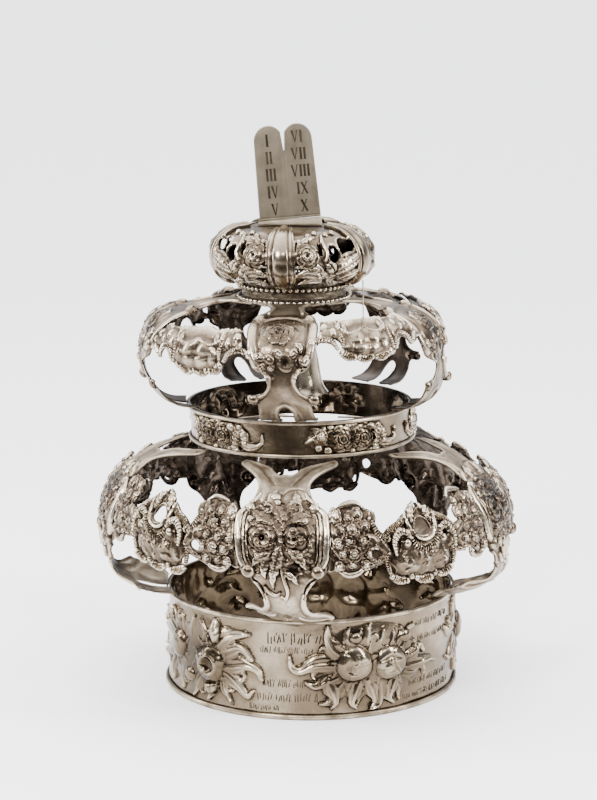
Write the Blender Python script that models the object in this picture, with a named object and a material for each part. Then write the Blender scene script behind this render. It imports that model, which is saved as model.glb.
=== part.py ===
"""Torah crown: two tiers of silver staves and garlands on two bands, a cushion-shaped crown and the tablets.

Run with blender --background --python part.py. Lengths below are in millimetres and angles in degrees; the
objects are made in metres. Angles go round from the front (-Y) towards +X. Origin: on the floor, below the
middle of the whole crown.
"""

import math

import bpy
import numpy as np
from mathutils import Vector
from mathutils.geometry import delaunay_2d_cdt

MM = 0.001
SHEET = 0.9  # thickness of the worked silver
GAP = 0.3  # clearance between pieces that are soldered together

AXIS = ((60, 0.0), (182, -6.0), (235, -11.3), (270, -10.5), (330, -13.5))  # the crown leans: (height, sideways)
CENTRE = 2.6  # how far the base's axis is to the right of the origin

LOWER_ANGLES = (-6.5, 70.0, 138.0, 207.0, 280.0)  # where the staves stand; the spacing isn't quite even
UPPER_ANGLES = (-4.6, 67.5, 136.8, 205.3, 283.0)
CLUSTERS = 5
FIRST_CLUSTER = 24.5  # angle of the first flower cluster on both bands
PANELS = 5
FIRST_PANEL = 28.0  # angle of the first pierced panel of the cushion-shaped crown

BASE_FOOT_RADIUS = 98.4
BASE_TOP_RADIUS = 97.3
BASE_HEIGHT = 67.6
FOOT_WIRE = (1.9, 3.6)  # how far it stands out, and its height
TOP_WIRE = (1.6, 3.0)

MIDDLE_RADIUS = 75.2
MIDDLE_BOTTOM = 170.4
MIDDLE_TOP = 194.8
MIDDLE_WIRE = (1.4, 2.6)

BASE_SIDES = 35  # flat sides that stand for the round of each band
MIDDLE_SIDES = 25
NECK_SIDES = 20

# Profiles as (radius, height), from the bottom up.
LOWER_STAVE = ((98.3, 68.0), (111, 70.3), (123.5, 75), (132.5, 82), (137.6, 91.5), (139.8, 103), (139.6, 116),
               (137.5, 129), (131, 141.5), (120.5, 152.5), (107.5, 161), (92.5, 166.6), (77.5, 169.2))
LOWER_GARLAND = ((137, 96), (138.8, 108), (138.5, 120), (136, 132), (129.5, 143), (119.5, 153.5))
UPPER_STAVE = ((76.8, 195.9), (87.5, 197.5), (96, 203), (101, 211), (103.5, 221), (104, 231), (102.5, 241),
               (98, 250), (89.5, 257), (78, 261.5), (65, 264.5), (52.5, 266), (39.8, 266.8))
UPPER_GARLAND = ((99.5, 226), (101.5, 237), (99.5, 247), (93.5, 254.5), (84, 261))
CUSHION = ((36.5, 278.2), (45, 280), (51, 286), (53, 294), (51.5, 302), (45.5, 309), (38, 313), (28, 314.5))

NECK_RADIUS = 35.2
NECK = (264.0, 277.8)
BEAD = 1.7  # radius of the neck's beads
BEAD_ROWS = (266.6, 275.2)

TABLETS = (41.4, 63.3, 1.6)  # width at the foot, height, thickness
TABLETS_TAPER = 2.9  # how much narrower they are at the top
TABLET_NOTCH = 20.0
TABLETS_TURN = -3.0
TABLETS_LEAN = 5.2
TABLETS_FOOT = (43.0, 13.0, 4.0)
CAP_RADIUS = 27.4
CAP = (312.6, 314.0)

BELL = ((20.6, 200.5), (16.6, 207.5), (14.6, 218.0), (12.2, 231.0), (8.2, 241.0), (4.0, 244.0))
BELL_WALL = 1.0
BELL_X = -5.4


# ---------------------------------------------------------------- materials


def silver(name, colour, roughness):
    material = bpy.data.materials.new(name)
    material.use_nodes = True
    shader = material.node_tree.nodes["Principled BSDF"]
    shader.inputs["Base Color"].default_value = (*colour, 1)
    shader.inputs["Metallic"].default_value = 1.0
    shader.inputs["Roughness"].default_value = roughness
    return material


def lean(z):
    """How far to the right the crown's axis is at a height."""
    return CENTRE + float(np.interp(z, *zip(*AXIS)))


def add_object(name, points, faces, material, leans=True, smooth_angle=40):
    """A new object from points in millimetres, moved sideways level by level where it leans with the crown."""
    mesh = bpy.data.meshes.new(name)
    mesh.from_pydata([(MM * (x + leans * lean(z)), MM * y, MM * z) for x, y, z in points], [], faces)
    mesh.validate()
    mesh.materials.append(material)
    mesh.shade_smooth()
    mesh.set_sharp_from_angle(angle=math.radians(smooth_angle))
    made = bpy.data.objects.new(name, mesh)
    bpy.context.scene.collection.objects.link(made)
    return made


# ---------------------------------------------------------------- turned surfaces


class Profile:
    """A smooth curve through (radius, height) points, read by its length from the first point."""

    def __init__(self, points, steps=12):
        keys = np.array(points, float)
        ends = np.vstack([2 * keys[0] - keys[1], keys, 2 * keys[-1] - keys[-2]])
        t = np.linspace(0, 1, steps, endpoint=False)[:, None]
        runs = []
        for a, b, c, d in zip(ends, ends[1:], ends[2:], ends[3:]):
            runs.append(b + 0.5 * t * (c - a + t * (2 * a - 5 * b + 4 * c - d + t * (3 * (b - c) + d - a))))
        self.points = np.vstack([*runs, keys[-1:]])
        steps_long = np.hypot(*np.diff(self.points, axis=0).T)
        self.along = np.concatenate([[0], np.cumsum(steps_long)])
        self.length = self.along[-1]

    def radius(self, s):
        return float(np.interp(s, self.along, self.points[:, 0]))

    def at_height(self, z):
        return float(np.interp(z, self.points[:, 1], self.along))

    def place(self, angle, s, out):
        """The point at an angle in degrees, s along the profile and so far out from it."""
        r, z = (np.interp(s, self.along, self.points[:, i]) for i in (0, 1))
        dr, dz = (np.interp(s + 1, self.along, self.points[:, i]) - np.interp(s - 1, self.along, self.points[:, i])
                  for i in (0, 1))
        long = math.hypot(dr, dz)
        r, z = r + out * dz / long, z - out * dr / long
        a = math.radians(angle)
        return (r * math.sin(a), -r * math.cos(a), z)


def turned(name, section, segments, material, start=0.0, closed=True, leans=True):
    """Turns a section of (radius, height) round the axis. A closed section goes anticlockwise; an open one
    starts and ends on the axis."""
    points, faces, rings = [], [], []
    for r, z in section:
        if r < 1e-6:
            rings.append([len(points)] * segments)
            points.append((0.0, 0.0, z))
            continue
        rings.append(list(range(len(points), len(points) + segments)))
        for i in range(segments):
            a = math.radians(start + 360 * i / segments)
            points.append((r * math.sin(a), -r * math.cos(a), z))
    pairs = list(zip(rings, rings[1:] + rings[:1])) if closed else list(zip(rings, rings[1:]))
    for low, high in pairs:
        for i in range(segments):
            j = (i + 1) % segments
            face = list(dict.fromkeys((low[i], low[j], high[j], high[i])))
            if len(face) > 2:
                faces.append(face)
    return add_object(name, points, faces, material, leans)


# ---------------------------------------------------------------- worked sheet


def inside(point, loop):
    x, y = point
    crossings = False
    for (x0, y0), (x1, y1) in zip(loop, loop[1:] + loop[:1]):
        if (y0 > y) != (y1 > y) and x < x0 + (x1 - x0) * (y - y0) / (y1 - y0):
            crossings = not crossings
    return crossings


def near(point, others, distance):
    return any(math.dist(point, other[:2]) < distance for other in others)


def fill_points(outline, bumps, spacing):
    """Points between the bumps and clear of the outline, in staggered rows, so that wide faces follow the curve."""
    xs, ys = zip(*(p for loop in outline for p in loop))
    rows = np.arange(min(ys) + spacing * 0.5, max(ys), spacing * 0.87)
    found = []
    for row, y in enumerate(rows):
        for x in np.arange(min(xs) + spacing * (0.5 + 0.5 * (row % 2)), max(xs), spacing):
            spot = (float(x), float(y))
            if not inside(spot, outline[0]) or any(inside(spot, hole) for hole in outline[1:]):
                continue
            if near(spot, bumps, spacing * 0.6) or any(near(spot, loop, spacing * 0.55) for loop in outline):
                continue
            found.append(spot)
    return found


def triangulated(outline, bumps, spacing, crown):
    """Triangles of a flat outline with holes, through its bumps: points as (x, s, out) and faces."""
    points, edges = [], []
    for loop in outline:
        first = len(points)
        points += [(x, s, crown(x, s)) for x, s in loop]
        edges += [(first + i, first + (i + 1) % len(loop)) for i in range(len(loop))]
    points += [(x, s, out + crown(x, s)) for x, s, out in bumps]
    points += [(x, s, crown(x, s)) for x, s in fill_points(outline, bumps, spacing)]
    flat, _, faces, origins, _, _ = delaunay_2d_cdt([p[:2] for p in points], edges, [], 1, 1e-5)
    kept = []
    for face in faces:
        middle = sum((flat[i] for i in face), flat[face[0]] * 0) / len(face)
        if not any(inside(middle, hole) for hole in outline[1:]):
            kept.append(face)
    return [points[origin[0]] for origin in origins], kept


def sheet(name, outline, bumps, profile, angle, material, spacing=9.0, crown=lambda x, s: 0.0,
          copies=1, width=0.0, ref=None):
    """One piece of sheet on a turned surface, worked out from behind, so that its back follows its front.

    Flat places are (x, s): x across, in millimetres at the local radius or at the radius ref, and s along
    the profile. Several copies side by side, each of one width, close into a ring."""
    points, faces = triangulated(outline, bumps, spacing, crown)
    whole = copies * width
    index, joined, front = {}, [], []
    for copy in range(copies):
        numbers = []
        for x, s, out in points:
            x = (x + copy * width + 1e-4) % whole if copies > 1 else x
            key = (round(x, 2), round(s, 2))
            if key not in index:
                index[key] = len(joined)
                joined.append((x, s, out))
            numbers.append(index[key])
        front += [[numbers[i] for i in face] for face in faces]
    count = len(joined)
    solid = []
    for depth in (0.0, SHEET):
        for x, s, out in joined:
            turn = math.degrees(x / (ref or profile.radius(s)))
            solid.append(profile.place(angle + turn, s, out - depth))
    sides = {(a, b) for face in front for a, b in zip(face, face[1:] + face[:1])}
    rim = [(a, b) for a, b in sides if (b, a) not in sides]
    back = [[i + count for i in reversed(face)] for face in front]
    walls = [[b, a, a + count, b + count] for a, b in sorted(rim)]
    return add_object(name, solid, front + back + walls, material)


def mirrored(half):
    """A whole outline from its right half, which runs from the bottom to the top."""
    left = [(-x, s) for x, s in reversed(half) if x > 1e-6]
    return list(half) + left


def oval(x, s, wide, high, points=6):
    turns = (2 * math.pi * (i + 0.5) / points for i in range(points))
    return [(x + wide * math.cos(t), s + high * math.sin(t)) for t in turns]


def rose(x, s, radius, out, petals=4):
    """A round flower: cupped centre, ring of petals, and the foot of the ring."""
    crest = [(*p, out) for p in oval(x, s, 0.55 * radius, 0.55 * radius, petals)]
    foot = [(*p, 0.12 * out) for p in oval(x, s, radius, radius, petals)]
    return [(x, s, 0.5 * out), *crest, *foot]


def leaf(x, s, turn, start, reach, out, half_width=0.0):
    """A leaf that points away from (x, s) at an angle, with a crest along its middle. A narrow one has no sides."""
    c, n = math.cos(math.radians(turn)), math.sin(math.radians(turn))
    middle = start + 0.42 * (reach - start)
    spots = [(middle, 0, out), (reach, 0, 0.12 * out)]
    if half_width:
        spots += [(middle, half_width, 0.1), (middle, -half_width, 0.1)]
    return [(x + c * a - n * b, s + n * a + c * b, h) for a, b, h in spots]


# ---------------------------------------------------------------- pieces


def band_outline(width, height, segments):
    """A plain strip, with points along its edges and none on the seams."""
    xs = [width * (i / segments - 0.5) for i in range(segments + 1)]
    return [[(x, 0.0) for x in xs] + [(x, height) for x in reversed(xs)]]


def base_band(material):
    height = BASE_HEIGHT
    profile = Profile(((BASE_FOOT_RADIUS, GAP), (BASE_TOP_RADIUS, height)))
    width = 2 * math.pi * BASE_FOOT_RADIUS / CLUSTERS
    middle = 37.0
    bumps = rose(-13.5, middle, 11.5, 7.0) + rose(13.5, middle, 11.5, 7.0)
    bumps += [(0, 9, 0.0), (0, height - 9, 0.0)]
    for side in (0, 180):
        for turn, reach, half_width in ((0, 52, 6), (27, 44, 6), (-27, 44, 6), (62, 23, 0), (-64, 27, 0)):
            start = 6 + 21 * math.cos(math.radians(turn))
            bumps += leaf(0, middle, side + turn, start, reach, 3.6, half_width)
    return sheet("base_band", band_outline(width, profile.length, BASE_SIDES // CLUSTERS), bumps, profile, FIRST_CLUSTER,
                 material, spacing=26, copies=CLUSTERS, width=width, ref=BASE_FOOT_RADIUS)


def middle_band(material):
    profile = Profile(((MIDDLE_RADIUS, MIDDLE_BOTTOM), (MIDDLE_RADIUS, MIDDLE_TOP)))
    width = 2 * math.pi * MIDDLE_RADIUS / CLUSTERS
    middle = 0.5 * (MIDDLE_TOP - MIDDLE_BOTTOM)
    bumps = []
    for x in (-13.0, 0.0, 13.0):
        bumps += rose(x, middle, 6.2, 4.2)
    for turn in (0, 180):
        bumps += leaf(0, middle, turn, 20, 31, 1.3)
    return sheet("middle_band", band_outline(width, profile.length, MIDDLE_SIDES // CLUSTERS), bumps, profile, FIRST_CLUSTER,
                 material, spacing=22, copies=CLUSTERS, width=width, ref=MIDDLE_RADIUS)


def edge_wire(name, band_radius, bottom, size, segments, material, flat_foot=False):
    """Half-round wire on the outside of a band's edge. The foot's wire is flat underneath."""
    out, high = size
    r = band_radius + 2 * GAP
    outer = [(r + 0.7 * out, bottom), (r + out, bottom + 0.4 * high), (r + 0.7 * out, bottom + high)]
    if not flat_foot:
        outer = [(r + out, bottom + 0.25 * high), (r + out, bottom + 0.75 * high)]
    section = [(r, bottom), *outer, (r, bottom + high)]
    return turned(name, section, segments, material, start=FIRST_CLUSTER - 180 / CLUSTERS)


def lower_stave_half(end):
    """Right half of a lower stave's outline: two-lobed foot, waist, belly and forked top with thin tips."""
    return ((0, 24), (3.4, 16), (4.3, 0), (23, 0), (25, 11), (31, 25), (28, 32), (15.5, 40), (13.8, 50), (18, 59),
            (28, 68), (30.5, 86), (30.5, 103), (21, 114), (16.8, 127), (20, 138), (32, end - 7), (31, end),
            (26.5, end), (12, end - 11), (5, end - 21), (0, end - 21))


def upper_stave_half(end):
    """Right half of an upper stave's outline: two legs under an arch, with curled tips, then waist, belly, and
    strap that flares at the neck."""
    return ((0, 27.5), (3.2, 25.5), (4.7, 20), (4.7, 0), (18.8, 0), (17.4, 28.5), (22.6, 32), (22.6, 36.5),
            (12.5, 39), (9, 44), (10.5, 50), (18.5, 55), (22, 68), (23, 86), (20, 98), (12.8, 112), (11.5, end - 12),
            (15, end - 5), (23.4, end), (12, end), (0, end))


def lower_stave_crown(x, s):
    """How far a lower stave's sheet stands out: rounded across, most of all in its foot, which is also twisted
    a little so that its right lobe stands lower. The tips of the foot are curled out."""
    foot = float(np.interp(s, (0, 8, 34, 52), (0.35, 1, 1, 0)))
    curl = 5.0 * max(0.0, (abs(x) - 22) / 9) ** 2 if s < 36 else 0.0
    return -0.9 * (x / 25) ** 2 + foot * (0.12 * x - 4.6 * (x / 25) ** 2) + curl


def upper_stave_crown(x, s):
    return -0.8 * (x / 20) ** 2 + (3.0 if abs(x) > 22 and s < 38 else 0.0)


def stave_edge(stave, half, low, high):
    """Where a garland meets the stave beside it, at the corners that the stave's outline has between two
    lengths: (degrees from the stave's middle, height)."""
    profile = Profile(stave)
    heights = np.interp([s for _, s in half(profile.length)], profile.along, profile.points[:, 1])
    return [(math.degrees((x + 2 * GAP) / profile.radius(s)), float(z))
            for (x, s), z in zip(half(profile.length), heights) if low <= s <= high]


def lower_stave(name, angle, material):
    profile = Profile(LOWER_STAVE)
    bumps = rose(-12, 90, 8.5, 4.6) + rose(9.5, 90, 8.0, 4.2)
    for side in (-1, 1):
        bumps += [(side * 25, 74, 2.2), (side * 26.5, 99, 2.2)]
    bumps += [(-1, 70, 3.4), (0, 106, 3.0)]
    return sheet(name, [mirrored(lower_stave_half(profile.length))], bumps, profile, angle, material, spacing=17,
                 crown=lower_stave_crown)


def upper_stave(name, angle, material):
    profile = Profile(UPPER_STAVE)
    bumps = rose(-1.5, 77, 10.5, 4.6, 5)
    for side in (-1, 1):
        bumps += [(side * 17.5, 65, 2.4), (side * 18, 88, 2.4)]
    bumps += [(2.5, 58, 2.6), (0, 97, 2.2)]
    return sheet(name, [mirrored(upper_stave_half(profile.length))], bumps, profile, angle, material, spacing=14,
                 crown=upper_stave_crown)


class Wall:
    """The gap between two staves, for a garland. Places across it run from -1 at one stave to 1 at the other."""

    def __init__(self, points, radius, left, right, stave_width, flip, rise, stretch=1.0, top=0.0):
        self.profile, self.radius, self.flip = Profile(points), radius, flip
        self.rise, self.stretch, self.top = rise, stretch, top
        self.middle, self.half_turn = 0.5 * (left + right), 0.5 * (right - left)
        self.half = self.half_turn - stave_width

    def flat(self, spots):
        """(place across, height) as flat places, mirrored where flip is -1, stretched down from the top and
        raised towards one end."""
        low, high = self.rise
        return [(self.flip * math.radians(self.half * u) * self.radius,
                 self.profile.at_height(self.top + (z - self.top) * self.stretch + low + (high - low) * 0.5 * (u + 1)))
                for u, z in spots]

    def outline(self, below, edge, above):
        """A loop from the lower and upper outlines and the stave's edge, whose points keep their places."""
        ends = [(math.radians(self.half_turn - a) * self.radius, self.profile.at_height(z)) for a, z in edge]
        loop = self.flat(below) + [(self.flip * x, s) for x, s in ends] + self.flat(above)
        loop += [(-self.flip * x, s) for x, s in reversed(ends)]
        return loop if self.flip > 0 else loop[::-1]


def lower_garland(name, left, right, flip, rise, material):
    """Flower panels at both ends, with a shell-shaped cartouche between them."""
    wall = Wall(LOWER_GARLAND, 138.5, left, right, 13.3, flip, rise)
    edge = stave_edge(LOWER_STAVE, lower_stave_half, 66, 106)
    below = [(-0.93, 112), (-0.86, 108.5), (-0.72, 109), (-0.55, 112), (-0.42, 114), (-0.33, 109), (-0.34, 103),
             (0.05, 101), (0.36, 102), (0.42, 110), (0.5, 115.5), (0.7, 114), (0.84, 109), (0.93, 110)]
    above = [(0.92, 148), (0.72, 146.5), (0.6, 141), (0.64, 135), (0.45, 132), (0.36, 136), (0.17, 140),
             (0.08, 146), (-0.05, 139), (-0.27, 136), (-0.4, 131.5), (-0.52, 134), (-0.46, 145), (-0.7, 149),
             (-0.85, 150)]
    eye = wall.flat([(-0.02, 131), (0.1, 131), (0.1, 134.5), (0.02, 135)])
    bumps = []
    for u, z, size in ((-0.76, 117, 6.0), (-0.72, 134, 6.5), (0.78, 121, 6.0), (0.78, 137, 6.0)):
        (x, s), = wall.flat([(u, z)])
        bumps += rose(x, s, size, 2.6)
    for u, z, out in ((-0.22, 125, 2.4), (-0.15, 112, 2.4), (0.08, 118, 3.2), (0.27, 124, 2.4), (0.28, 110, 2.2)):
        (x, s), = wall.flat([(u, z)])
        bumps.append((x, s, out))
    return sheet(name, [wall.outline(below, edge, above), eye], bumps, wall.profile, wall.middle, material,
                 spacing=26, ref=wall.radius)


def upper_garland(name, left, right, flip, rise, stretch, material):
    """Fluted strap, domed cartouche and beaded arch, from one stave to the next."""
    wall = Wall(UPPER_GARLAND, 101.0, left, right, 13.0, flip, rise, stretch, 261.0)
    edge = stave_edge(UPPER_STAVE, upper_stave_half, 60, 88)
    below = [(-0.93, 250.5), (-0.76, 252.5), (-0.6, 250), (-0.58, 243), (-0.48, 239.5), (0.0, 239), (0.38, 239.5),
             (0.45, 247), (0.55, 252.5), (0.72, 251.5), (0.84, 245)]
    above = [(0.85, 257), (0.68, 261), (0.4, 261.5), (0.0, 260), (-0.34, 260.5), (-0.6, 261.5), (-0.85, 260)]
    bumps = []
    for u, z, out in ((-0.75, 256.5, 1.6), (-0.42, 250, 2.2), (-0.05, 250, 2.6), (0.3, 249, 2.2), (0.6, 257, 1.8)):
        (x, s), = wall.flat([(u, z)])
        bumps.append((x, s, out))
    return sheet(name, [wall.outline(below, edge, above)], bumps, wall.profile, wall.middle, material, spacing=16,
                 ref=wall.radius)


def neck_parts(material):
    inner, outer = NECK_RADIUS - SHEET, NECK_RADIUS
    bottom, top = NECK
    turned("neck_collar", [(inner, bottom), (outer, bottom), (outer, top), (inner, top)], NECK_SIDES, material)
    centre = NECK_RADIUS + GAP + 0.9 * BEAD
    for name, z in zip(("neck_beads_lower", "neck_beads_upper"), BEAD_ROWS):
        section = [(centre - 0.9 * BEAD, z), (centre, z - BEAD), (centre + BEAD, z), (centre, z + BEAD)]
        turned(name, section, NECK_SIDES, material)


def cushion_crown(material):
    """Closed dome with five fluted ribs and pierced flower panels between them."""
    profile = Profile(CUSHION)
    radius = 53.0
    width = 2 * math.pi * radius / PANELS
    end = profile.length
    xs = [width * (i / 5 - 0.5) for i in range(6)]
    edge = [(x, 0.0) for x in xs] + [(x, end) for x in reversed(xs)]
    rose_height, void_height = profile.at_height(300), profile.at_height(304)
    holes = [oval(3.5, rose_height, 3.2, 4.6, 4), oval(15.5, void_height, 6.5, 4.4, 5), oval(-6, void_height, 2.2, 4, 4)]
    bumps = rose(-16, rose_height, 7.5, 2.6)
    for side in (-1, 1):
        bumps += [(side * 0.5 * width, s, 2.0) for s in (14, 30, 46)]
        bumps += [(side * (0.5 * width - 8.8), s, 0.4) for s in (22, 40)]
    bumps += [(15, 14, 2.8), (-14, 13, 2.6), (-12, 45, 2.2), (0, 14, 2.0)]
    return sheet("cushion_crown", [edge, *holes], bumps, profile, FIRST_PANEL, material, spacing=30,
                 copies=PANELS, width=width, ref=radius)


def tablets(material):
    """Two round-topped tablets in one plate. It leans with its moulded foot, whose underside is level."""
    wide, high, thick = TABLETS
    half = 0.5 * wide
    r = 0.5 * half
    slope = math.tan(math.radians(TABLETS_LEAN))
    foot_wide, foot_deep, foot_high = TABLETS_FOOT
    under = CAP[1] + GAP
    arc = [(half - r + r * math.cos(math.radians(t)), high - r + r * math.sin(math.radians(t)))
           for t in range(0, 151, 15)]
    outline = [(x * (1 - TABLETS_TAPER / wide * z / high), z)
               for x, z in mirrored([(half, 0.0), *arc, (0.0, high - TABLET_NOTCH)])]
    count = len(outline)
    points = [(x, y, z) for y in (-0.5 * thick, 0.5 * thick) for x, z in outline]
    faces = [list(range(count)), list(range(2 * count - 1, count - 1, -1))]
    faces += [[(i + 1) % count, i, i + count, (i + 1) % count + count] for i in range(count)]
    plate = add_object("law_tablets", points, faces, material, leans=False)
    plate.rotation_euler = (0.0, math.radians(-TABLETS_LEAN), math.radians(TABLETS_TURN))
    plate.location = (MM * lean(under), 0.0, MM * (under + foot_high + GAP))

    a, b = 0.5 * foot_wide, 0.5 * foot_deep
    steps = ((a, b, 0.0, 0), (a, b, 0.25 * foot_high, 0), (a - 0.5, 0.45 * b, 0.7 * foot_high, 1),
             (a - 1.0, 0.3 * b, foot_high, 1))
    corners = [(sx * x, sy * y, z + slanted * slope * sx * x)
               for x, y, z, slanted in steps for sx, sy in ((-1, -1), (1, -1), (1, 1), (-1, 1))]
    sides = [[4 * k + i, 4 * k + (i + 1) % 4, 4 * k + 4 + (i + 1) % 4, 4 * k + 4 + i]
             for k in range(len(steps) - 1) for i in range(4)]
    last = 4 * len(steps)
    moulding = add_object("tablets_foot", corners, [[3, 2, 1, 0], *sides, list(range(last - 4, last))], material,
                          leans=False)
    moulding.rotation_euler.z = math.radians(TABLETS_TURN)
    moulding.location = (MM * lean(under), 0.0, MM * under)


def bell_parts(material):
    """The bell hangs plumb below the cap, a little right of its middle, with its clapper."""
    inner = [(max(r - BELL_WALL, 0.0), z - (BELL_WALL if i == len(BELL) - 1 else 0.0))
             for i, (r, z) in enumerate(BELL)]
    crown = BELL[-1][1] + 0.4
    section = [(0.0, inner[-1][1]), *reversed(inner), *BELL, (0.0, crown)]
    bell = turned("bell", section, 12, material, closed=False, leans=False)
    ball, middle = 4.2, 207.0
    hook = BELL[-1][1] - BELL_WALL - GAP
    drop = [(0.0, middle - ball), (0.8 * ball, middle - 0.6 * ball), (ball, middle), (0.6, middle + ball),
            (0.6, hook), (0.0, hook)]
    clapper = turned("bell_clapper", drop, 8, material, closed=False, leans=False)
    rod = [(0.0, crown + GAP), (0.8, crown + GAP), (0.8, CAP[0] - GAP), (0.0, CAP[0] - GAP)]
    wire = turned("bell_wire", rod, 8, material, closed=False, leans=False)
    for piece in (bell, clapper, wire):
        piece.location.x = MM * BELL_X


def pendant_wire(material):
    """Thin wire from the right underside of the cushion-shaped crown down to the garland in front of it."""
    low, high = Vector((44.5, -94.0, 260.8)), Vector((46.3, -26.5, 280.3))
    for end in (low, high):
        end.x += lean(end.z)
    length = (high - low).length
    made = turned("pendant_wire", [(0, 0), (0.45, 0), (0.45, length), (0, length)], 6, material, closed=False,
                  leans=False)
    made.rotation_mode = "QUATERNION"
    made.rotation_quaternion = (high - low).to_track_quat("Z", "Y")
    made.location = MM * low


def build():
    for old in list(bpy.data.objects):
        bpy.data.objects.remove(old)
    bright = silver("worked_silver", (0.62, 0.57, 0.50), 0.28)
    plain = silver("plain_silver", (0.60, 0.56, 0.49), 0.36)
    dark = silver("dark_silver", (0.26, 0.22, 0.18), 0.45)
    brushed = silver("brushed_silver", (0.42, 0.38, 0.32), 0.5)

    base_band(bright)
    edge_wire("base_foot_rim", BASE_FOOT_RADIUS, 0.0, FOOT_WIRE, BASE_SIDES, plain, flat_foot=True)
    edge_wire("base_top_rim", BASE_TOP_RADIUS, BASE_HEIGHT - TOP_WIRE[1], TOP_WIRE, BASE_SIDES, plain)
    middle_band(bright)
    edge_wire("middle_foot_rim", MIDDLE_RADIUS, MIDDLE_BOTTOM, MIDDLE_WIRE, MIDDLE_SIDES, plain)
    edge_wire("middle_top_rim", MIDDLE_RADIUS, MIDDLE_TOP - MIDDLE_WIRE[1], MIDDLE_WIRE, MIDDLE_SIDES, plain)
    for k, angle in enumerate(LOWER_ANGLES):
        right = LOWER_ANGLES[k + 1] if k < len(LOWER_ANGLES) - 1 else LOWER_ANGLES[0] + 360
        flip, rise = (1, (0.0, 0.0)) if k < 3 else (-1, (1.5, 7.0))
        lower_stave(f"lower_stave_{k + 1}", angle, bright)
        lower_garland(f"lower_garland_{k + 1}", angle, right, flip, rise, bright)
    for k, angle in enumerate(UPPER_ANGLES):
        right = UPPER_ANGLES[k + 1] if k < len(UPPER_ANGLES) - 1 else UPPER_ANGLES[0] + 360
        flip, rise, stretch = (1, (0.0, 0.0), 1.0) if k < 3 else (-1, (-5.0, -7.0), 1.19)
        upper_stave(f"upper_stave_{k + 1}", angle, bright)
        upper_garland(f"upper_garland_{k + 1}", angle, right, flip, rise, stretch, bright)
    neck_parts(dark)
    cushion_crown(bright)
    turned("cushion_cap", [(0.0, CAP[0]), (CAP_RADIUS, CAP[0]), (CAP_RADIUS, CAP[1]), (0.0, CAP[1])], NECK_SIDES, plain,
           closed=False)
    tablets(brushed)
    bell_parts(plain)
    pendant_wire(plain)


build()
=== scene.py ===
import math
import bpy
import numpy as np
from mathutils import Euler, Matrix, Vector


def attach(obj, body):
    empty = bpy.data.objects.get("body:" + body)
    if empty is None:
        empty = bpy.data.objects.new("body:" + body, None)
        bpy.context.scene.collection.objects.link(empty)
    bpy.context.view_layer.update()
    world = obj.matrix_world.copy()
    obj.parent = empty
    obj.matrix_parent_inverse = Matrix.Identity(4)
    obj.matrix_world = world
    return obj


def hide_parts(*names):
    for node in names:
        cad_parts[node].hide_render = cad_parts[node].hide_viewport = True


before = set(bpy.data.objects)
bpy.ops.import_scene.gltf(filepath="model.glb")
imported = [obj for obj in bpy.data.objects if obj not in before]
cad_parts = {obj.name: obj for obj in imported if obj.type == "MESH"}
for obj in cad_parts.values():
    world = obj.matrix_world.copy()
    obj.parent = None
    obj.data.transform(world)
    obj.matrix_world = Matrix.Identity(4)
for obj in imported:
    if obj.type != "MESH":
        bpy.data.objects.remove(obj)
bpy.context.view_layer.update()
mm = 0.001
print("frame loaded:", len(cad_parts), "nodes")

# Lengths are in mm. The crown leans a little to the left as it rises: (height, sideways).
axisLean = ((60, 0.0), (182, -6.0), (235, -11.3), (270, -10.5), (330, -13.5))
baseCentre = 2.6
sheetThick = 0.9
wellInside = 9.0  # the distance from an edge that a sheet without edges has


def lean(z):
    return baseCentre + np.interp(z, *zip(*axisLean))


def smoothPath(points, steps=5, loop=False):
    # a curve through all the points, in this many steps from each to the next
    keys = np.array(points, float)
    if loop:
        ends = np.vstack([keys[-1], keys, keys[:2]])
    else:
        ends = np.vstack([2 * keys[0] - keys[1], keys, 2 * keys[-1] - keys[-2]])
    t = np.linspace(0, 1, steps, endpoint=False)[:, None]
    runs = [b + 0.5 * t * (c - a + t * (2 * a - 5 * b + 4 * c - d + t * (3 * (b - c) + d - a)))
            for a, b, c, d in zip(ends, ends[1:], ends[2:], ends[3:])]
    return np.vstack(runs if loop else [*runs, keys[-1:]])


def profileOf(points):
    # a smooth curve through (radius, height), read by its length s from the foot
    run = smoothPath(points, 16)
    s = np.concatenate([[0], np.cumsum(np.hypot(*np.diff(run, axis=0).T))])
    return {"r": run[:, 0], "z": run[:, 1], "s": s, "length": s[-1]}


def radiusAt(profile, s):
    return np.interp(s, profile["s"], profile["r"])


def heightAt(profile, s):
    return np.interp(s, profile["s"], profile["z"])


def alongAt(profile, z):
    return np.interp(z, profile["z"], profile["s"])


def wrapped(profile, angle, s, out):
    # a place on the crown: round by angle from the front, along the profile, and out from it
    r, z = radiusAt(profile, s), heightAt(profile, s)
    dr = radiusAt(profile, s + 1) - radiusAt(profile, s - 1)
    dz = heightAt(profile, s + 1) - heightAt(profile, s - 1)
    long = np.hypot(dr, dz)
    r, z = r + out * dz / long, z - out * dr / long
    a = np.radians(angle)
    return np.stack([r * np.sin(a) + lean(z), -r * np.cos(a), z], axis=-1)


# Chased relief is a flat grid, x sideways and s along the sheet. It holds how high each spot stands, how far
# inside the outline it is, how much darker it is painted for stains and for shade, and how matt and clean the
# metal is. Each tool below works on it in turn.

def newRelief(xRange, sRange, step, crown=None):
    x, s = np.meshgrid(*(np.arange(low, high + step, step) for low, high in (xRange, sRange)))
    relief = {"x": x, "s": s, "step": step, "edge": np.full_like(x, -wellInside)}
    for layer in ("h", "stain", "matt", "clean"):
        relief[layer] = np.zeros_like(x)
    if crown:
        relief["h"] += crown(x, s)
    return relief


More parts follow.
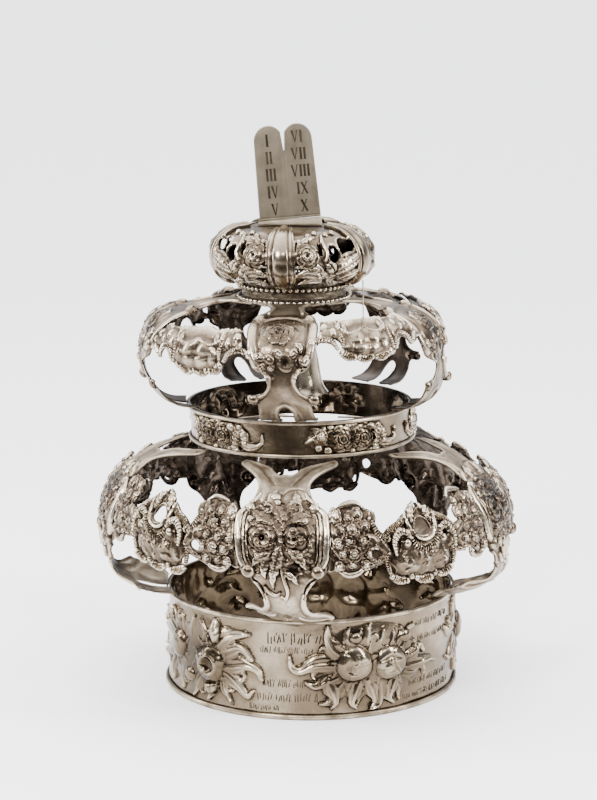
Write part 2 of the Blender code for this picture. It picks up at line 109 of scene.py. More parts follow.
def ringGrid(profile, radius, step):
    # a grid that closes round a ring
    around = 2 * math.pi * radius
    count = int(around / step)
    relief = newRelief((0, around - 1.5 * around / count), (0, profile["length"] - 0.5 * step),
                       around / count)
    relief["s"] *= profile["length"] / relief["s"].max()
    relief["edge"][:] = wellInside
    return relief, around


def mirrored(path, side, middle=0):
    return [(middle + side * x, s) for x, s in path]


def windowOf(relief, points, reach):
    x0, s0, step = relief["x"][0, 0], relief["s"][0, 0], relief["step"]
    rows, columns = relief["x"].shape
    low, high = np.min(points, axis=0) - reach, np.max(points, axis=0) + reach
    across = [int(np.clip((v - x0) / step, 0, columns)) for v in (low[0], high[0] + step)]
    along = [int(np.clip((v - s0) / step, 0, rows)) for v in (low[1], high[1] + step)]
    return slice(*along), slice(*across)


def pathField(relief, path, reach):
    # distance from a path, share of its length at the nearest point, side, and that length in mm
    win = windowOf(relief, path, reach)
    x, s = relief["x"][win], relief["s"][win]
    steps = np.hypot(*np.diff(path, axis=0).T)
    before = np.concatenate([[0], np.cumsum(steps)])
    best, share, side = np.full(x.shape, 1e9), np.zeros(x.shape), np.zeros(x.shape)
    for (ax, ay), (bx, by), start, long in zip(path, path[1:], before, steps):
        ux, uy = (bx - ax) / max(long, 1e-6), (by - ay) / max(long, 1e-6)
        t = np.clip((x - ax) * ux + (s - ay) * uy, 0, long)
        px, py = x - ax - t * ux, s - ay - t * uy
        d = np.hypot(px, py)
        nearer = d < best
        best = np.where(nearer, d, best)
        share = np.where(nearer, (start + t) / before[-1], share)
        side = np.where(nearer, np.sign(ux * py - uy * px), side)
    return win, best, share, side, before[-1]


def loopField(relief, loop):
    # distance from a closed outline, positive inside
    x, s = relief["x"], relief["s"]
    best, inside = np.full(x.shape, 1e9), np.zeros(x.shape, bool)
    for (ax, ay), (bx, by) in zip(loop, np.roll(loop, -1, axis=0)):
        long = math.hypot(bx - ax, by - ay)
        if long < 1e-6:
            continue
        ux, uy = (bx - ax) / long, (by - ay) / long
        t = np.clip((x - ax) * ux + (s - ay) * uy, 0, long)
        best = np.minimum(best, np.hypot(x - ax - t * ux, s - ay - t * uy))
        if ay != by:
            inside ^= ((ay > s) != (by > s)) & (x < ax + (bx - ax) * (s - ay) / (by - ay))
    return np.where(inside, best, -best)


def cutOutline(relief, loop, steps=4):
    relief["edge"] = np.maximum(relief["edge"], loopField(relief, smoothPath(loop, steps, loop=True)))


def cutHole(relief, loop, rim=0.0):
    field = loopField(relief, smoothPath(loop, loop=True))
    relief["h"] += rim * np.exp(-((field + 0.96) / 0.96) ** 2)
    relief["edge"] = np.minimum(relief["edge"], -field)


def borderRim(relief, high, inset=0.9, wide=0.7):
    relief["h"] += high * np.exp(-((relief["edge"] - inset) / wide) ** 2)


def lay(relief, win, shape, mask, level=None, edge=None):
    # lays a form over what is there; with no level it adds to it
    h = relief["h"][win]
    relief["h"][win] = np.where(mask, h + shape if level is None else np.maximum(h, level + shape), h)
    if edge is not None:
        relief["edge"][win] = np.maximum(relief["edge"][win], edge)


def addSwell(relief, x, s, wide, tall, high, turn=0.0, sharp=1.0):
    # an oval swelling, or a hollow where high is below zero
    win = windowOf(relief, [(x, s)], max(wide, tall))
    c, n = math.cos(math.radians(turn)), math.sin(math.radians(turn))
    dx, ds = relief["x"][win] - x, relief["s"][win] - s
    q = ((c * dx + n * ds) / wide) ** 2 + ((c * ds - n * dx) / tall) ** 2
    lay(relief, win, high * np.clip(1 - q, 0, 1) ** sharp, q < 1)


def addRidge(relief, path, wide, high, ends=0.5, level=None, edge=False, power=0.55, ribs=0.0, ribWide=1.6):
    # a rounded strip, slimmer at its ends, smooth or cut across into ribs
    win, d, t, side, long = pathField(relief, smoothPath(path), wide + 1)
    w = wide * (1 - (1 - ends) * np.abs(2 * t - 1) ** 1.5)
    shape = high * (1 - np.clip(d / w, 0, 1) ** 2) ** power
    if ribs:
        shape *= 1 - ribs * (0.5 - 0.5 * np.cos(2 * np.pi * t * round(long / ribWide)))
    lay(relief, win, shape, d < w, level, w - d if edge else None)


def fanRibs(relief, path, wide, high, ribWide=1.5, level=0.6, edge=False):
    addRidge(relief, path, wide, high, 0.75, level=level, ribs=0.8, ribWide=ribWide, edge=edge, power=0.4)


def addGroove(relief, path, wide, deep):
    win, d, t, side, long = pathField(relief, smoothPath(path), wide + 1)
    w = wide * (1 - 0.7 * np.abs(2 * t - 1) ** 2)
    lay(relief, win, -deep * np.clip(1 - (d / w) ** 2, 0, 1), d < w)


def addBeads(relief, path, radius, high, level):
    win, d, t, side, long = pathField(relief, smoothPath(path), radius + 1)
    count = round(long / (2.1 * radius))
    along = (t * count - np.floor(t * count) - 0.5) * long / count
    q = (d * d + along * along) / radius ** 2
    lay(relief, win, high * np.sqrt(np.clip(1 - q, 0, 1)), q < 1, level)


def addLeaf(relief, path, wide, high, lobes=0, veins=5, level=0.0, edge=False, curl=0.0, puff=0.0):
    # a pointed leaf from root to tip: two rounded halves beside a sunk rib, lobed sides, veins, raised tip
    win, d, t, side, long = pathField(relief, smoothPath(path), wide + 1)
    body = np.sin(np.pi * np.clip(t, 0, 1) ** 0.62) ** 0.75
    w = wide * np.maximum(body, np.where(t > 0.5, 0.12, 0.3))
    beat = np.abs(np.cos(np.pi * (t * lobes + 0.15 * side))) ** 0.8 if lobes else np.ones_like(t)
    w = w * (1 - (0.2 + 0.16 * puff) * (1 - beat))
    q = np.clip(d / np.maximum(w, 1e-3), 0, 1)
    between = 1 - puff * (1 - beat) * np.clip(1.6 * q, 0, 1)
    across = (1 - q ** 2.4) ** 0.7 * (1 - 0.34 * np.exp(-(q / 0.17) ** 2)) * between
    fine = 1 - 0.10 * (0.5 + 0.5 * np.cos(2 * np.pi * (t * veins * 2 - 0.55 * q))) * (q > 0.1)
    shape = high * across * fine * (0.55 + 0.45 * np.sin(np.pi * np.clip(t * 0.9 + 0.12, 0, 1)))
    shape += curl * np.exp(-((t - 1) / 0.14) ** 2) * (1 - q * q)
    lay(relief, win, shape, d < w, level, w - d if edge else None)


def addFlame(relief, path, wide, high, level=0.2, curl=1.0, fold=1):
    # a smooth leaf that sweeps out to a slim curled tip, one side folded higher than the other
    win, d, t, side, long = pathField(relief, smoothPath(path), wide + 1)
    taper = 1 - 0.7 * np.clip((t - 0.4) / 0.6, 0, 1) ** 1.4
    w = wide * (0.6 + 0.4 * np.sin(np.pi * np.clip(1.5 * t + 0.1, 0, 1))) * taper
    q = np.clip(d / w, 0, 1)
    v = side * q * fold
    crease = 0.28 * high * np.exp(-((v + 0.18) / 0.2) ** 2) * (1 - 0.6 * t)
    shape = high * (1 - q ** 2.3) ** 0.8 * (0.76 + 0.24 * v) - crease
    if wide > 4:
        shape -= 0.14 * high * np.exp(-((v - 0.42) / 0.13) ** 2) * np.sin(np.pi * np.clip(1.4 * t, 0, 1))
    shape = shape * (0.72 + 0.28 * np.sin(np.pi * np.clip(1.1 * t, 0, 1)))
    shape += curl * np.exp(-((t - 0.94) / 0.09) ** 2) * (1 - q * q)
    lay(relief, win, shape, d < w, level)


def addBloom(relief, x, s, radius, high, rows, rng, turn=0.0, level=0.0, edge=False, heart=0.2):
    # a full flower, rows of rounded petals from the outside in: (petals, how far out, size, lift)
    for k, (count, far, size, lift) in enumerate(rows):
        for i in range(count):
            a = math.radians(turn + 37 * k + 360 * i / count) + rng.uniform(-0.14, 0.14)
            px, ps = x + far * radius * math.cos(a), s + far * radius * math.sin(a)
            win = windowOf(relief, [(px, ps)], 1.3 * size * radius)
            dx, ds = relief["x"][win] - px, relief["s"][win] - ps
            u = (math.cos(a) * dx + math.sin(a) * ds) / (size * radius)
            v = (math.cos(a) * ds - math.sin(a) * dx) / (1.22 * size * radius)
            q = u * u + v * v
            petal = lift + 0.42 * np.sqrt(np.clip(1 - q * q, 0, 1)) * (0.78 + 0.22 * u)
            petal -= 0.10 * np.exp(-q / 0.2)
            relief["h"][win] = np.where(q < 1, level + high * petal, relief["h"][win])
            if edge and not k:
                relief["edge"][win] = np.maximum(relief["edge"][win], (1 - np.sqrt(q)) * size * radius)
    if heart > 0:
        addBall(relief, x, s, heart * radius, 0.3 * high, level=level + high * (rows[-1][3] + 0.3))
    else:
        addSwell(relief, x, s, -heart * radius, -heart * radius, -0.45 * high)


def addFolded(relief, x, s, radius, high, petals, turn=0.0, level=0.3, swirl=0.9, hand=1, deep=0.15):
    # a high round flower, whose big petals fold over each other like a bud that opens
    win = windowOf(relief, [(x, s)], radius)
    dx, ds = relief["x"][win] - x, relief["s"][win] - s
    phi = hand * np.arctan2(ds, dx) + math.radians(turn)
    rho = np.hypot(dx, ds) / radius / (1 + 0.05 * np.cos(petals * phi))
    outer = (petals * phi / (2 * math.pi) + swirl * rho) % 1.0
    inner = ((petals - 1) * (phi + 0.8) / (2 * math.pi) + 1.3 * rho) % 1.0
    dome = 0.16 + 0.84 * np.sqrt(np.clip(1 - rho ** 2.2, 0, 1))
    dome -= deep * (1 - outer ** 0.6) * np.clip(1.5 * rho, 0, 1)
    dome -= 0.8 * deep * (1 - inner ** 0.6) * (rho < 0.56)
    h = relief["h"][win]
    relief["h"][win] = np.where(rho < 1, np.maximum(level + high * dome, h - 0.6 * high), h)
    relief["stain"][win] += np.where(rho < 1.1, 0.10, 0)


def addCup(relief, x, s, radius, high, rim, level):
    # round boss with a rolled rim and a sunk middle
    win = windowOf(relief, [(x, s)], 1.05 * radius)
    rho = np.hypot(relief["x"][win] - x, relief["s"][win] - s) / radius
    ring = np.exp(-((rho - 1 + rim) / (0.55 * rim)) ** 2)
    value = level + high * (ring + 0.45 * np.clip(1 - rho, 0, 1) * (rho > 1 - rim))
    relief["h"][win] = np.where(rho < 1, value, relief["h"][win])


def addBall(relief, x, s, radius, high, swirl=0.0, edge=False, level=0.0):
    # a ball, or the ball end of a scroll when it has a swirl cut into it
    win = windowOf(relief, [(x, s)], 1.05 * radius)
    dx, ds = relief["x"][win] - x, relief["s"][win] - s
    rho, phi = np.hypot(dx, ds) / radius, np.arctan2(ds, dx)
    value = level + high * np.sqrt(np.clip(1 - rho * rho, 0, 1))
    value -= swirl * np.exp(-(np.sin(0.5 * phi + 5.2 * rho) / 0.28) ** 2) * (rho > 0.25)
    h = relief["h"][win]
    relief["h"][win] = np.where(rho < 1, np.maximum(value, h - 0.5 * high), h)
    if edge:
        relief["edge"][win] = np.maximum(relief["edge"][win], (1 - rho) * radius)


def addScroll(relief, x, s, radius, high, turns, start=0.0, hand=1, wide=1.5, level=0.0):
    # a C scroll: a rounded wire that winds in to a ball
    t = np.linspace(0, 1, int(14 * turns) + 4)
    a = np.radians(start) + hand * 2 * np.pi * turns * t
    rad = radius * (1 - 0.8 * t)
    addRidge(relief, np.stack([x + rad * np.cos(a), s + rad * np.sin(a)], axis=1), wide, high, 0.7, level)
    addBall(relief, x, s, 0.34 * radius, 1.1 * high, level=level)


def addScales(relief, rng, xRange, sRange, count, size=1.3, high=0.8):
    # small overlapping scales that fill a ground
    for _ in range(count):
        x, s, turn = rng.uniform(*xRange), rng.uniform(*sRange), rng.uniform(0, 180)
        wide, tall = size * rng.uniform(0.7, 1.3), size * rng.uniform(0.9, 1.7)
        addSwell(relief, x, s, wide, tall, high * rng.uniform(0.5, 1), turn=turn, sharp=0.6)


# a darker round spot, used for stains and for painted shade in hollows
def addStainAndShade(relief, x, s, radius, dark, oval=1.0):
    win = windowOf(relief, [(x, s)], 2 * radius * max(oval, 1))
    q = np.hypot(relief["x"][win] - x, (relief["s"][win] - s) / oval) / radius
    relief["stain"][win] += dark * np.exp(-q ** 4)


def addWear(relief, rng, fine, broad, ring=False):
    # marks of the hammer and of a long life: fine unevenness and shallow dents
    for high, reach in ((fine, 0.8), (broad, 4.5)):
        noise = blurred(rng.standard_normal(relief["h"].shape), max(int(reach / relief["step"]), 1), ring)
        relief["h"] += high * noise / max(float(noise.std()), 1e-9)


def blurred(values, cells, ring=False):
    # two box blurs along the sheet, then two across it
    out = values
    for axis in (0, 0, 1, 1):
        total = np.zeros_like(out)
        for k in range(-cells, cells + 1):
            if axis and ring:
                total += np.roll(out, k, axis=1)
            else:
                index = np.clip(np.arange(out.shape[axis]) + k, 0, out.shape[axis] - 1)
                total += np.take(out, index, axis=axis)
        out = total / (2 * cells + 1)
    return out


# From here the worked grids become pieces of the crown.

def addPiece(name, mesh, material):
    made = bpy.data.objects.new(name, mesh)
    bpy.context.scene.collection.objects.link(made)
    mesh.materials.clear()
    mesh.materials.append(material)
    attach(made, "root")
    return made


def setShade(mesh, layer, values):
    mesh.attributes.new(layer, "FLOAT", "POINT").data.foreach_set("value", np.array(values, np.float32))


def meshPiece(name, points, faces, tone, material, sharp=0):
    # smooth where neighbouring faces meet at less than the sharp angle, or flat all over at 0
    mesh = bpy.data.meshes.new(name)
    mesh.from_pydata([[v * mm for v in p] for p in points], [], faces)
    setShade(mesh, "tarnish", tone)
    made = addPiece(name, mesh, material)
    if sharp:
        mesh.shade_smooth()
        mesh.set_sharp_from_angle(angle=math.radians(sharp))
    return made


def pulledToOutline(relief, touches):
    # points on the border of what is kept move onto the outline itself
    edge, step = relief["edge"], relief["step"]
    border = (touches > 0) & (touches < 4) & (np.abs(edge) < 1.5 * step)
    slopeS, slopeX = np.gradient(edge, step)
    size = np.clip(slopeX * slopeX + slopeS * slopeS, 0.3, 9)
    return [relief[axis] - np.where(border, np.clip(edge * slope / size, -step, step), 0)
            for axis, slope in (("x", slopeX), ("s", slopeS))]


def closedSheet(front, count):
    # the same faces behind, turned over, and walls along every open edge
    edges = np.concatenate([front[:, [i, (i + 1) % 4]] for i in range(4)]).astype(np.int64)
    key, other = edges[:, 0] * count + edges[:, 1], edges[:, 1] * count + edges[:, 0]
    a, b = edges[~np.isin(key, other)].T
    walls = np.stack([b, a, a + count, b + count], axis=1)
    return np.concatenate([front, front[:, ::-1] + count, walls]).astype(np.int32)


def thinOut(made, count, ratio):
    # fewer faces, most of all on the inside of the sheet
    inside = made.vertex_groups.new(name="inside")
    inside.add(list(range(count, 2 * count)), 0.75, "REPLACE")
    inside.add(list(range(count)), 0.30, "REPLACE")
    cut = made.modifiers.new("cut", "DECIMATE")
    cut.ratio, cut.vertex_group = ratio, "inside"
    full = made.data
    less = bpy.data.meshes.new_from_object(made.evaluated_get(bpy.context.evaluated_depsgraph_get()))
    made.modifiers.clear()
    made.data = less
    bpy.data.meshes.remove(full)
    less.name = made.name


def reliefPiece(name, relief, place, triangles, material, ring=False, flip=1, thick=sheetThick,
                rimDrop=0.45, backDark=0.85, ground=0.32, fine=0.22, broad=0.34, reach=3.2):
    # a closed sheet from a worked grid, bent into shape by place(sideways, along, out)
    step, edge = relief["step"], relief["edge"]
    spread = lambda values, far: blurred(values, max(int(far / step), 1), ring)
    joined = lambda values: np.concatenate([values, values[:, :1]], axis=1) if ring else values
    corners = lambda values: (values[:-1, :-1], values[:-1, 1:], values[1:, 1:], values[1:, :-1])
    a, b, c, d = corners(joined(edge))
    kept = 0.25 * (a + d + b + c) > 0
    quads = np.stack([v[kept] for v in corners(joined(np.arange(edge.size).reshape(edge.shape)))], axis=1)
    touches = np.bincount(quads.ravel(), minlength=edge.size)
    x, s = pulledToOutline(relief, touches.reshape(edge.shape))

    # the back is softer than the front; hollows are painted darker than what stands proud, partly tarnish and
    # partly painted shade
    h = relief["h"] - rimDrop * np.clip(1 - edge, 0, 1) ** 2
    back = np.minimum(spread(h, 1.1) - thick, h - 0.55 * thick)
    small = np.clip((spread(h, 0.9) - h) / 0.32, -1, 1)
    large = np.clip((spread(h, reach) - h) / (0.4 * reach), -1, 1)
    # tarnish and painted shade together: darker in fine creases and in broad hollows beside raised work, plus
    # what is laid on the grid
    dark = np.clip(ground + fine * small + broad * large + relief["stain"], 0, 1)

    used = touches > 0
    count = int(used.sum())
    pick = lambda values: values.ravel()[used]
    outside, clean = pick(dark), pick(relief["clean"])
    # the back is painted dark as unpolished metal, and darker still behind raised work, a painted shade in
    # its own hollows
    behind = (1 - clean) * (backDark - 0.55 * (outside - 0.4)) + clean * outside
    points = np.concatenate([place(pick(x), pick(s), pick(out)) for out in (h, back)])
    front = (np.cumsum(used) - 1)[quads]
    faces = closedSheet(front if flip > 0 else front[:, ::-1], count)
    mesh = bpy.data.meshes.new(name)
    mesh.vertices.add(len(points))
    mesh.vertices.foreach_set("co", (points * mm).astype(np.float32).ravel())
    mesh.loops.add(faces.size)
    mesh.loops.foreach_set("vertex_index", faces.ravel())
    mesh.polygons.add(len(faces))
    mesh.polygons.foreach_set("loop_start", np.arange(0, faces.size, 4, dtype=np.int32))
    mesh.update(calc_edges=True)
    setShade(mesh, "tarnish", np.concatenate([outside, behind]))
    setShade(mesh, "inner", np.concatenate([np.zeros(count), 1 - clean]))
    setShade(mesh, "matt", np.tile(pick(relief["matt"]), 2))
    made = addPiece(name, mesh, material)
    if 2 * len(faces) > triangles:
        thinOut(made, count, triangles / (2 * len(faces)))
    made.data.shade_smooth()
    made.data.set_sharp_from_angle(angle=math.radians(55))
    return made


# finishes

def newNode(tree, kind, inputs=(), **settings):
    # each input is either another node's output, which is linked, or a plain value
    made = tree.nodes.new("ShaderNode" + kind)
    for key, value in settings.items():
        setattr(made, key, value)
    feed(tree, made, dict(inputs))
    return made


def feed(tree, node, inputs):
    for key, value in inputs.items():
        if isinstance(value, bpy.types.NodeSocket):
            tree.links.new(value, node.inputs[key])
        else:
            node.inputs[key].default_value = value


def newRamp(tree, stops, share):
    made = newNode(tree, "ValToRGB", {"Fac": share})
    while len(made.color_ramp.elements) < len(stops):
        made.color_ramp.elements.new(0.5)
    for element, (at, colour) in zip(made.color_ramp.elements, stops):
        element.position, element.color = at, (*colour, 1)
    return made.outputs["Color"]


def newMaterial(name):
    material = bpy.data.materials.new(name)
    material.use_nodes = True
    return material, material.node_tree, material.node_tree.nodes["Principled BSDF"]


def tarnishAndShadeSilver(name, stops, rough, patches, patchSize=55.0, grain=0.25, grainSize=900.0, bump=0.12,
                    shift=0.0, brushed=1.0, inside=None):
    # silver whose recesses are painted brown, partly tarnish and partly painted shade: each piece carries
    # that darkness in an attribute
    material, tree, shader = newMaterial(name)
    where = newNode(tree, "TexCoord").outputs["Object"]
    cloud = newNode(tree, "TexNoise", {"Vector": where, "Scale": patchSize, "Detail": 4})
    stretched = newNode(tree, "Mapping", {"Vector": where, "Scale": (1.0, 1.0, brushed)})
    speck = newNode(tree, "TexNoise", {"Vector": stretched.outputs["Vector"], "Scale": grainSize,
                                       "Detail": 3})
    patchy = newNode(tree, "MapRange", {"Value": cloud.outputs["Fac"], "From Min": 0.3, "From Max": 0.7,
                                        "To Min": shift - 0.5 * patches, "To Max": shift + 0.5 * patches})
    grainy = newNode(tree, "Math", {0: speck.outputs["Fac"], 1: grain, 2: patchy.outputs["Result"]},
                     operation="MULTIPLY_ADD")
    depth = newNode(tree, "Attribute", attribute_name="tarnish").outputs["Fac"]
    total = newNode(tree, "Math", {0: depth, 1: grainy.outputs["Value"]}, operation="ADD", use_clamp=True)
    total = total.outputs["Value"]
    colour = newRamp(tree, stops, total)
    if inside:
        # the back of the sheet was never polished
        back = newNode(tree, "Attribute", attribute_name="inner").outputs["Fac"]
        sides = newNode(tree, "Mix", {"Factor": back, 6: colour, 7: newRamp(tree, inside, total)},
                        data_type="RGBA")
        colour = sides.outputs[2]
    polish = newNode(tree, "MapRange",
                     {"Value": total, "To Min": rough[0], "To Max": rough[1]}).outputs["Result"]
    dulled = newNode(tree, "Attribute", attribute_name="matt").outputs["Fac"]
    softened = newNode(tree, "Math", {0: polish, 1: dulled}, operation="ADD").outputs["Value"]
    worn = newNode(tree, "Bump", {"Strength": bump, "Distance": 0.0004, "Height": speck.outputs["Fac"]})
    feed(tree, shader, {"Metallic": 1.0, "Base Color": colour, "Roughness": softened,
                        "Normal": worn.outputs["Normal"]})
    return material


tones = {  # from clean metal to deep tarnish and painted shade
    "silver": ((0.0, (0.58, 0.497, 0.384)), (0.22, (0.35, 0.288, 0.212)),
               (0.46, (0.125, 0.0926, 0.063)), (1.0, (0.018, 0.0125, 0.009))),
    "band": ((0.0, (0.55, 0.465, 0.352)), (0.25, (0.40, 0.329, 0.242)),
             (0.52, (0.155, 0.117, 0.0767)), (1.0, (0.03, 0.0212, 0.0135))),
    "dark": ((0.0, (0.42, 0.357, 0.279)), (0.4, (0.16, 0.127, 0.09)), (1.0, (0.03, 0.0222, 0.0153))),
    "tablet": ((0.0, (0.4, 0.338, 0.257)), (0.5, (0.27, 0.224, 0.164)), (1.0, (0.1, 0.0772, 0.054))),
    "soot": ((0.0, (0.26, 0.21, 0.16)), (0.5, (0.085, 0.064, 0.048)), (1.0, (0.022, 0.016, 0.012))),
    "umber": ((0.0, (0.36, 0.275, 0.185)), (0.5, (0.15, 0.11, 0.072)), (1.0, (0.03, 0.022, 0.015))),
    "gold": ((0.0, (0.54, 0.42, 0.28)), (0.5, (0.31, 0.23, 0.142)), (1.0, (0.07, 0.05, 0.032))),
}
chasedSilver = tarnishAndShadeSilver("chasedSilver", tones["silver"], rough=(0.20, 0.25), patches=0.26, shift=-0.02,
                               grain=0.12, bump=0.05, inside=tones["soot"])
bandSilver = tarnishAndShadeSilver("bandSilver", tones["band"], rough=(0.34, 0.17), patches=0.26, patchSize=34.0,
                             shift=-0.04, grain=0.16, bump=0.10, inside=tones["gold"])
middleSilver = tarnishAndShadeSilver("middleSilver", tones["band"], rough=(0.30, 0.16), patches=0.3, patchSize=40.0,
                               shift=0.04, grain=0.16, bump=0.08, inside=tones["umber"])
wireSilver = tarnishAndShadeSilver("wireSilver", tones["band"], rough=(0.24, 0.45), patches=0.4, patchSize=90.0,
                             shift=0.12)
neckSilver = tarnishAndShadeSilver("neckSilver", tones["dark"], rough=(0.28, 0.6), patches=0.5, patchSize=120.0,
                             shift=0.22)
tabletSilver = tarnishAndShadeSilver("tabletSilver", tones["tablet"], rough=(0.36, 0.52), patches=0.5,
                               patchSize=60.0, grainSize=260.0, grain=0.3, shift=0.1, bump=0.1,
                               brushed=0.05)
engravedDark = tarnishAndShadeSilver("engravedDark", tones["dark"], rough=(0.5, 0.7), patches=0.4, shift=-0.1)
cushionSilver = tarnishAndShadeSilver("cushionSilver", tones["silver"], rough=(0.16, 0.28), patches=0.34,
                                patchSize=70.0, shift=0.04, grain=0.14, bump=0.06, inside=tones["soot"])
bellSilver = tarnishAndShadeSilver("bellSilver", tones["band"], rough=(0.2, 0.4), patches=0.4, patchSize=70.0,
                             shift=-0.08)
print("finishes made")


# lower staves

lowerStave = {
    "angles": (-6.5, 70.0, 138.0, 207.0, 280.0),
    "profile": ((98.3, 68), (111, 70.3), (123.5, 75), (132.5, 82), (137.6, 91.5), (139.8, 103), (139.6, 116),
                (137.5, 129), (131, 141.5), (120.5, 152.5), (107.5, 161), (92.5, 166.6), (77.5, 169.2)),
    "grid": 0.55, "triangles": 40000,
    "rose": 11.2, "roseHigh": 4.2, "bud": 9.6, "budHigh": 4.0, "worn": (0.0, 0.10, 0.05, 0.05, 0.04),
    "mouldings": ((28.2, 2.7, 1.9), (24.6, 1.1, 1.3), (22.5, 0.8, 0.9)),  # place, half width, height
}


def mirroredHalf(half):
    return list(half) + [(-x, s) for x, s in reversed(half) if x > 1e-6]


def lowerStaveOutline(end):
    return mirroredHalf(((0, 24), (3.4, 16), (4.3, 0), (23, 0), (25, 11), (29.4, 24), (27.4, 31),
                         (15.5, 40), (13.8, 50), (18, 59), (28, 68), (30.5, 86), (30.5, 103), (21, 114),
                         (16.8, 127), (20, 138), (32, end - 7), (31, end), (26.5, end), (12, end - 11),
                         (5, end - 21), (0, end - 21)))


def lowerStaveCrown(x, s):
    foot = np.interp(s, (0, 8, 34, 52), (0.35, 1, 1, 0))
    curl = np.where(s < 36, 5.0 * np.clip((np.abs(x) - 22) / 9, 0, 2) ** 2, 0)
    return -0.9 * (x / 25) ** 2 + foot * (0.12 * x - 4.6 * (x / 25) ** 2) + curl


def lowerStaveRelief(profile, cfg, seed):
    rng = np.random.default_rng(seed)
    end = profile["length"]
    relief = newRelief((-34, 34), (0, end), cfg["grid"], lowerStaveCrown)
    cutOutline(relief, lowerStaveOutline(end))
    borderRim(relief, 0.45, 1.0, 1.1)
    relief["clean"] += 0.85 * np.clip((46 - relief["s"]) / 14, 0, 1)
    relief["stain"] += cfg["worn"][seed]
    workLowerFoot(relief, rng)
    workLowerPanel(relief, cfg, rng)
    workLowerLeaves(relief)
    workLowerFlowers(relief, cfg, rng)
    workLowerNeck(relief, end)
    addWear(relief, rng, 0.04, 0.16)
    return relief


def workLowerFoot(relief, rng):
    # two rounded lobes, with folds that run out to their tips, and a valley between them
    for side in (-1, 1):
        addSwell(relief, side * 13.5, 10, 8.5, 13, 1.6)
        addRidge(relief, mirrored([(12.4, 52), (12.6, 43), (17, 35), (28, 27.5)], side), 3.2, 1.7, 0.5,
                 power=0.8)
        addRidge(relief, mirrored([(8, 33), (14, 26), (21, 21.5), (27, 22)], side), 2.2, 1.2, 0.4, power=0.8)
        addRidge(relief, mirrored([(22, 2), (22.6, 10), (26, 18)], side), 2.0, 1.0, 0.5, power=0.8)
        addGroove(relief, mirrored([(10, 37), (17, 29), (25, 25)], side), 1.4, 0.7)
    addGroove(relief, [(0, 26), (0, 36)], 3.4, 0.9)
    addSwell(relief, 0, 45, 9, 12, 0.9)
    for _ in range(9):
        addSwell(relief, rng.uniform(-5, 6), rng.uniform(36, 48), 0.8, 0.7, -0.35)
    # waist: deep gashes with a polished rib run up to the balls
    for side in (-1, 1):
        addGroove(relief, mirrored([(23, 64), (17, 58.5), (12.5, 50)], side), 2.9, 1.9)
        addRidge(relief, mirrored([(20.5, 62.5), (16.4, 58), (13.2, 52)], side), 1.5, 2.1, 0.3)
        # painted shade and tarnish in each gash
        addStainAndShade(relief, side * 16, 58, 4.4, 0.16)


def workLowerPanel(relief, cfg, rng):
    # sunk ground between the mouldings, full of small scales
    win = windowOf(relief, [(0, 90)], 24)
    x, s = relief["x"][win], relief["s"][win]
    field = np.clip(1 - (np.abs(x / 23) ** 6 + np.abs((s - 91) / 23) ** 6), 0, 1) ** 0.5
    relief["h"][win] += 1.0 * field
    relief["stain"][win] += 0.18 * field
    addScales(relief, rng, (-21, 21), (66, 113), 170, 1.4, 0.6)
    # side mouldings: a broad round with two thin beads, turned in at the shoulders
    for side in (-1, 1):
        for at, wide, high in cfg["mouldings"]:
            addRidge(relief, [(side * (at - 5.5), 69), (side * (at - 0.9), 76), (side * at, 86),
                              (side * at, 98), (side * (at - 1.4), 105), (side * (at - 6.5), 110.5)], wide,
                     high, 0.75, power=0.7, level=0.2)
        addBall(relief, side * 22, 68.5, 4.4, 4.0, level=0.6)
        addStainAndShade(relief, side * 22, 68.5, 4.0, 0.58)
        addBall(relief, side * 20.5, 109.5, 3.4, 2.6, level=0.8, swirl=0.6)
        addRidge(relief, mirrored([(24, 111.5), (18, 115.5), (14.5, 121)], side), 1.9, 1.5, 0.4, power=0.8)


def workLowerLeaves(relief):
    # leafwork above the flowers
    for path, wide, high in (([(-6, 99), (-14, 104), (-20, 108)], 4.6, 2.0),
                             ([(1, 99), (-3, 108), (-11, 114)], 4.2, 2.2),
                             ([(8, 100), (14, 104), (18, 104)], 4.2, 2.0),
                             ([(-2, 108), (-7, 117), (-4, 124)], 3.4, 1.5),
                             ([(4, 107), (9, 114), (8, 122)], 3.4, 1.5)):
        addLeaf(relief, path, 1.2 * wide, 0.75 * high, lobes=4, level=0.8, puff=0.25)
    addScroll(relief, 7.5, 110, 5.4, 0.7, 0.8, start=-60, wide=1.3, level=1.2)
    addScroll(relief, -9, 108, 4.2, 1.1, 0.9, start=120, wide=1.0, level=1.5, hand=-1)
    for at in ((-3, 114), (1.5, 102), (15, 101), (-20, 102)):
        addBall(relief, *at, 2.1, 1.2, level=1.2)
    addStainAndShade(relief, 0, 104, 18, 0.14, oval=0.6)
    addStainAndShade(relief, 0, 74, 20, 0.10, oval=0.5)
    # leaves below the flowers, and the long one that hangs between them
    addSwell(relief, 8.5, 70.5, 6.5, 4.2, -2.2)
    # painted shade and tarnish in the hollow
    addStainAndShade(relief, 8.5, 70.5, 5.0, 0.2)
    for path, wide, high in (([(5, 83), (11, 77), (15, 70)], 4.2, 2.2),
                             ([(-8, 80), (-15, 77), (-19, 72)], 4.2, 1.9),
                             ([(-9, 77), (-12, 70), (-11, 64)], 3.4, 1.6)):
        addLeaf(relief, path, wide, high, lobes=4, level=1.0, puff=0.35)
    addLeaf(relief, [(-1, 84), (-4, 73), (-6.5, 64), (-6, 57)], 4.3, 2.7, lobes=5, veins=8, level=1.0,
            curl=0.6, puff=0.35)
    addRidge(relief, [(-1, 72), (0.5, 64), (2.4, 56), (1, 50.5), (-1.6, 52)], 1.4, 1.6, 0.5, level=0.9)
    addRidge(relief, [(-12, 59), (-9, 55), (-5.5, 53), (-2, 55)], 1.2, 1.3, 0.5, level=0.8)
    addLeaf(relief, [(1, 68), (6, 65), (9.5, 60)], 2.8, 1.6, lobes=3, level=0.9, puff=0.5)


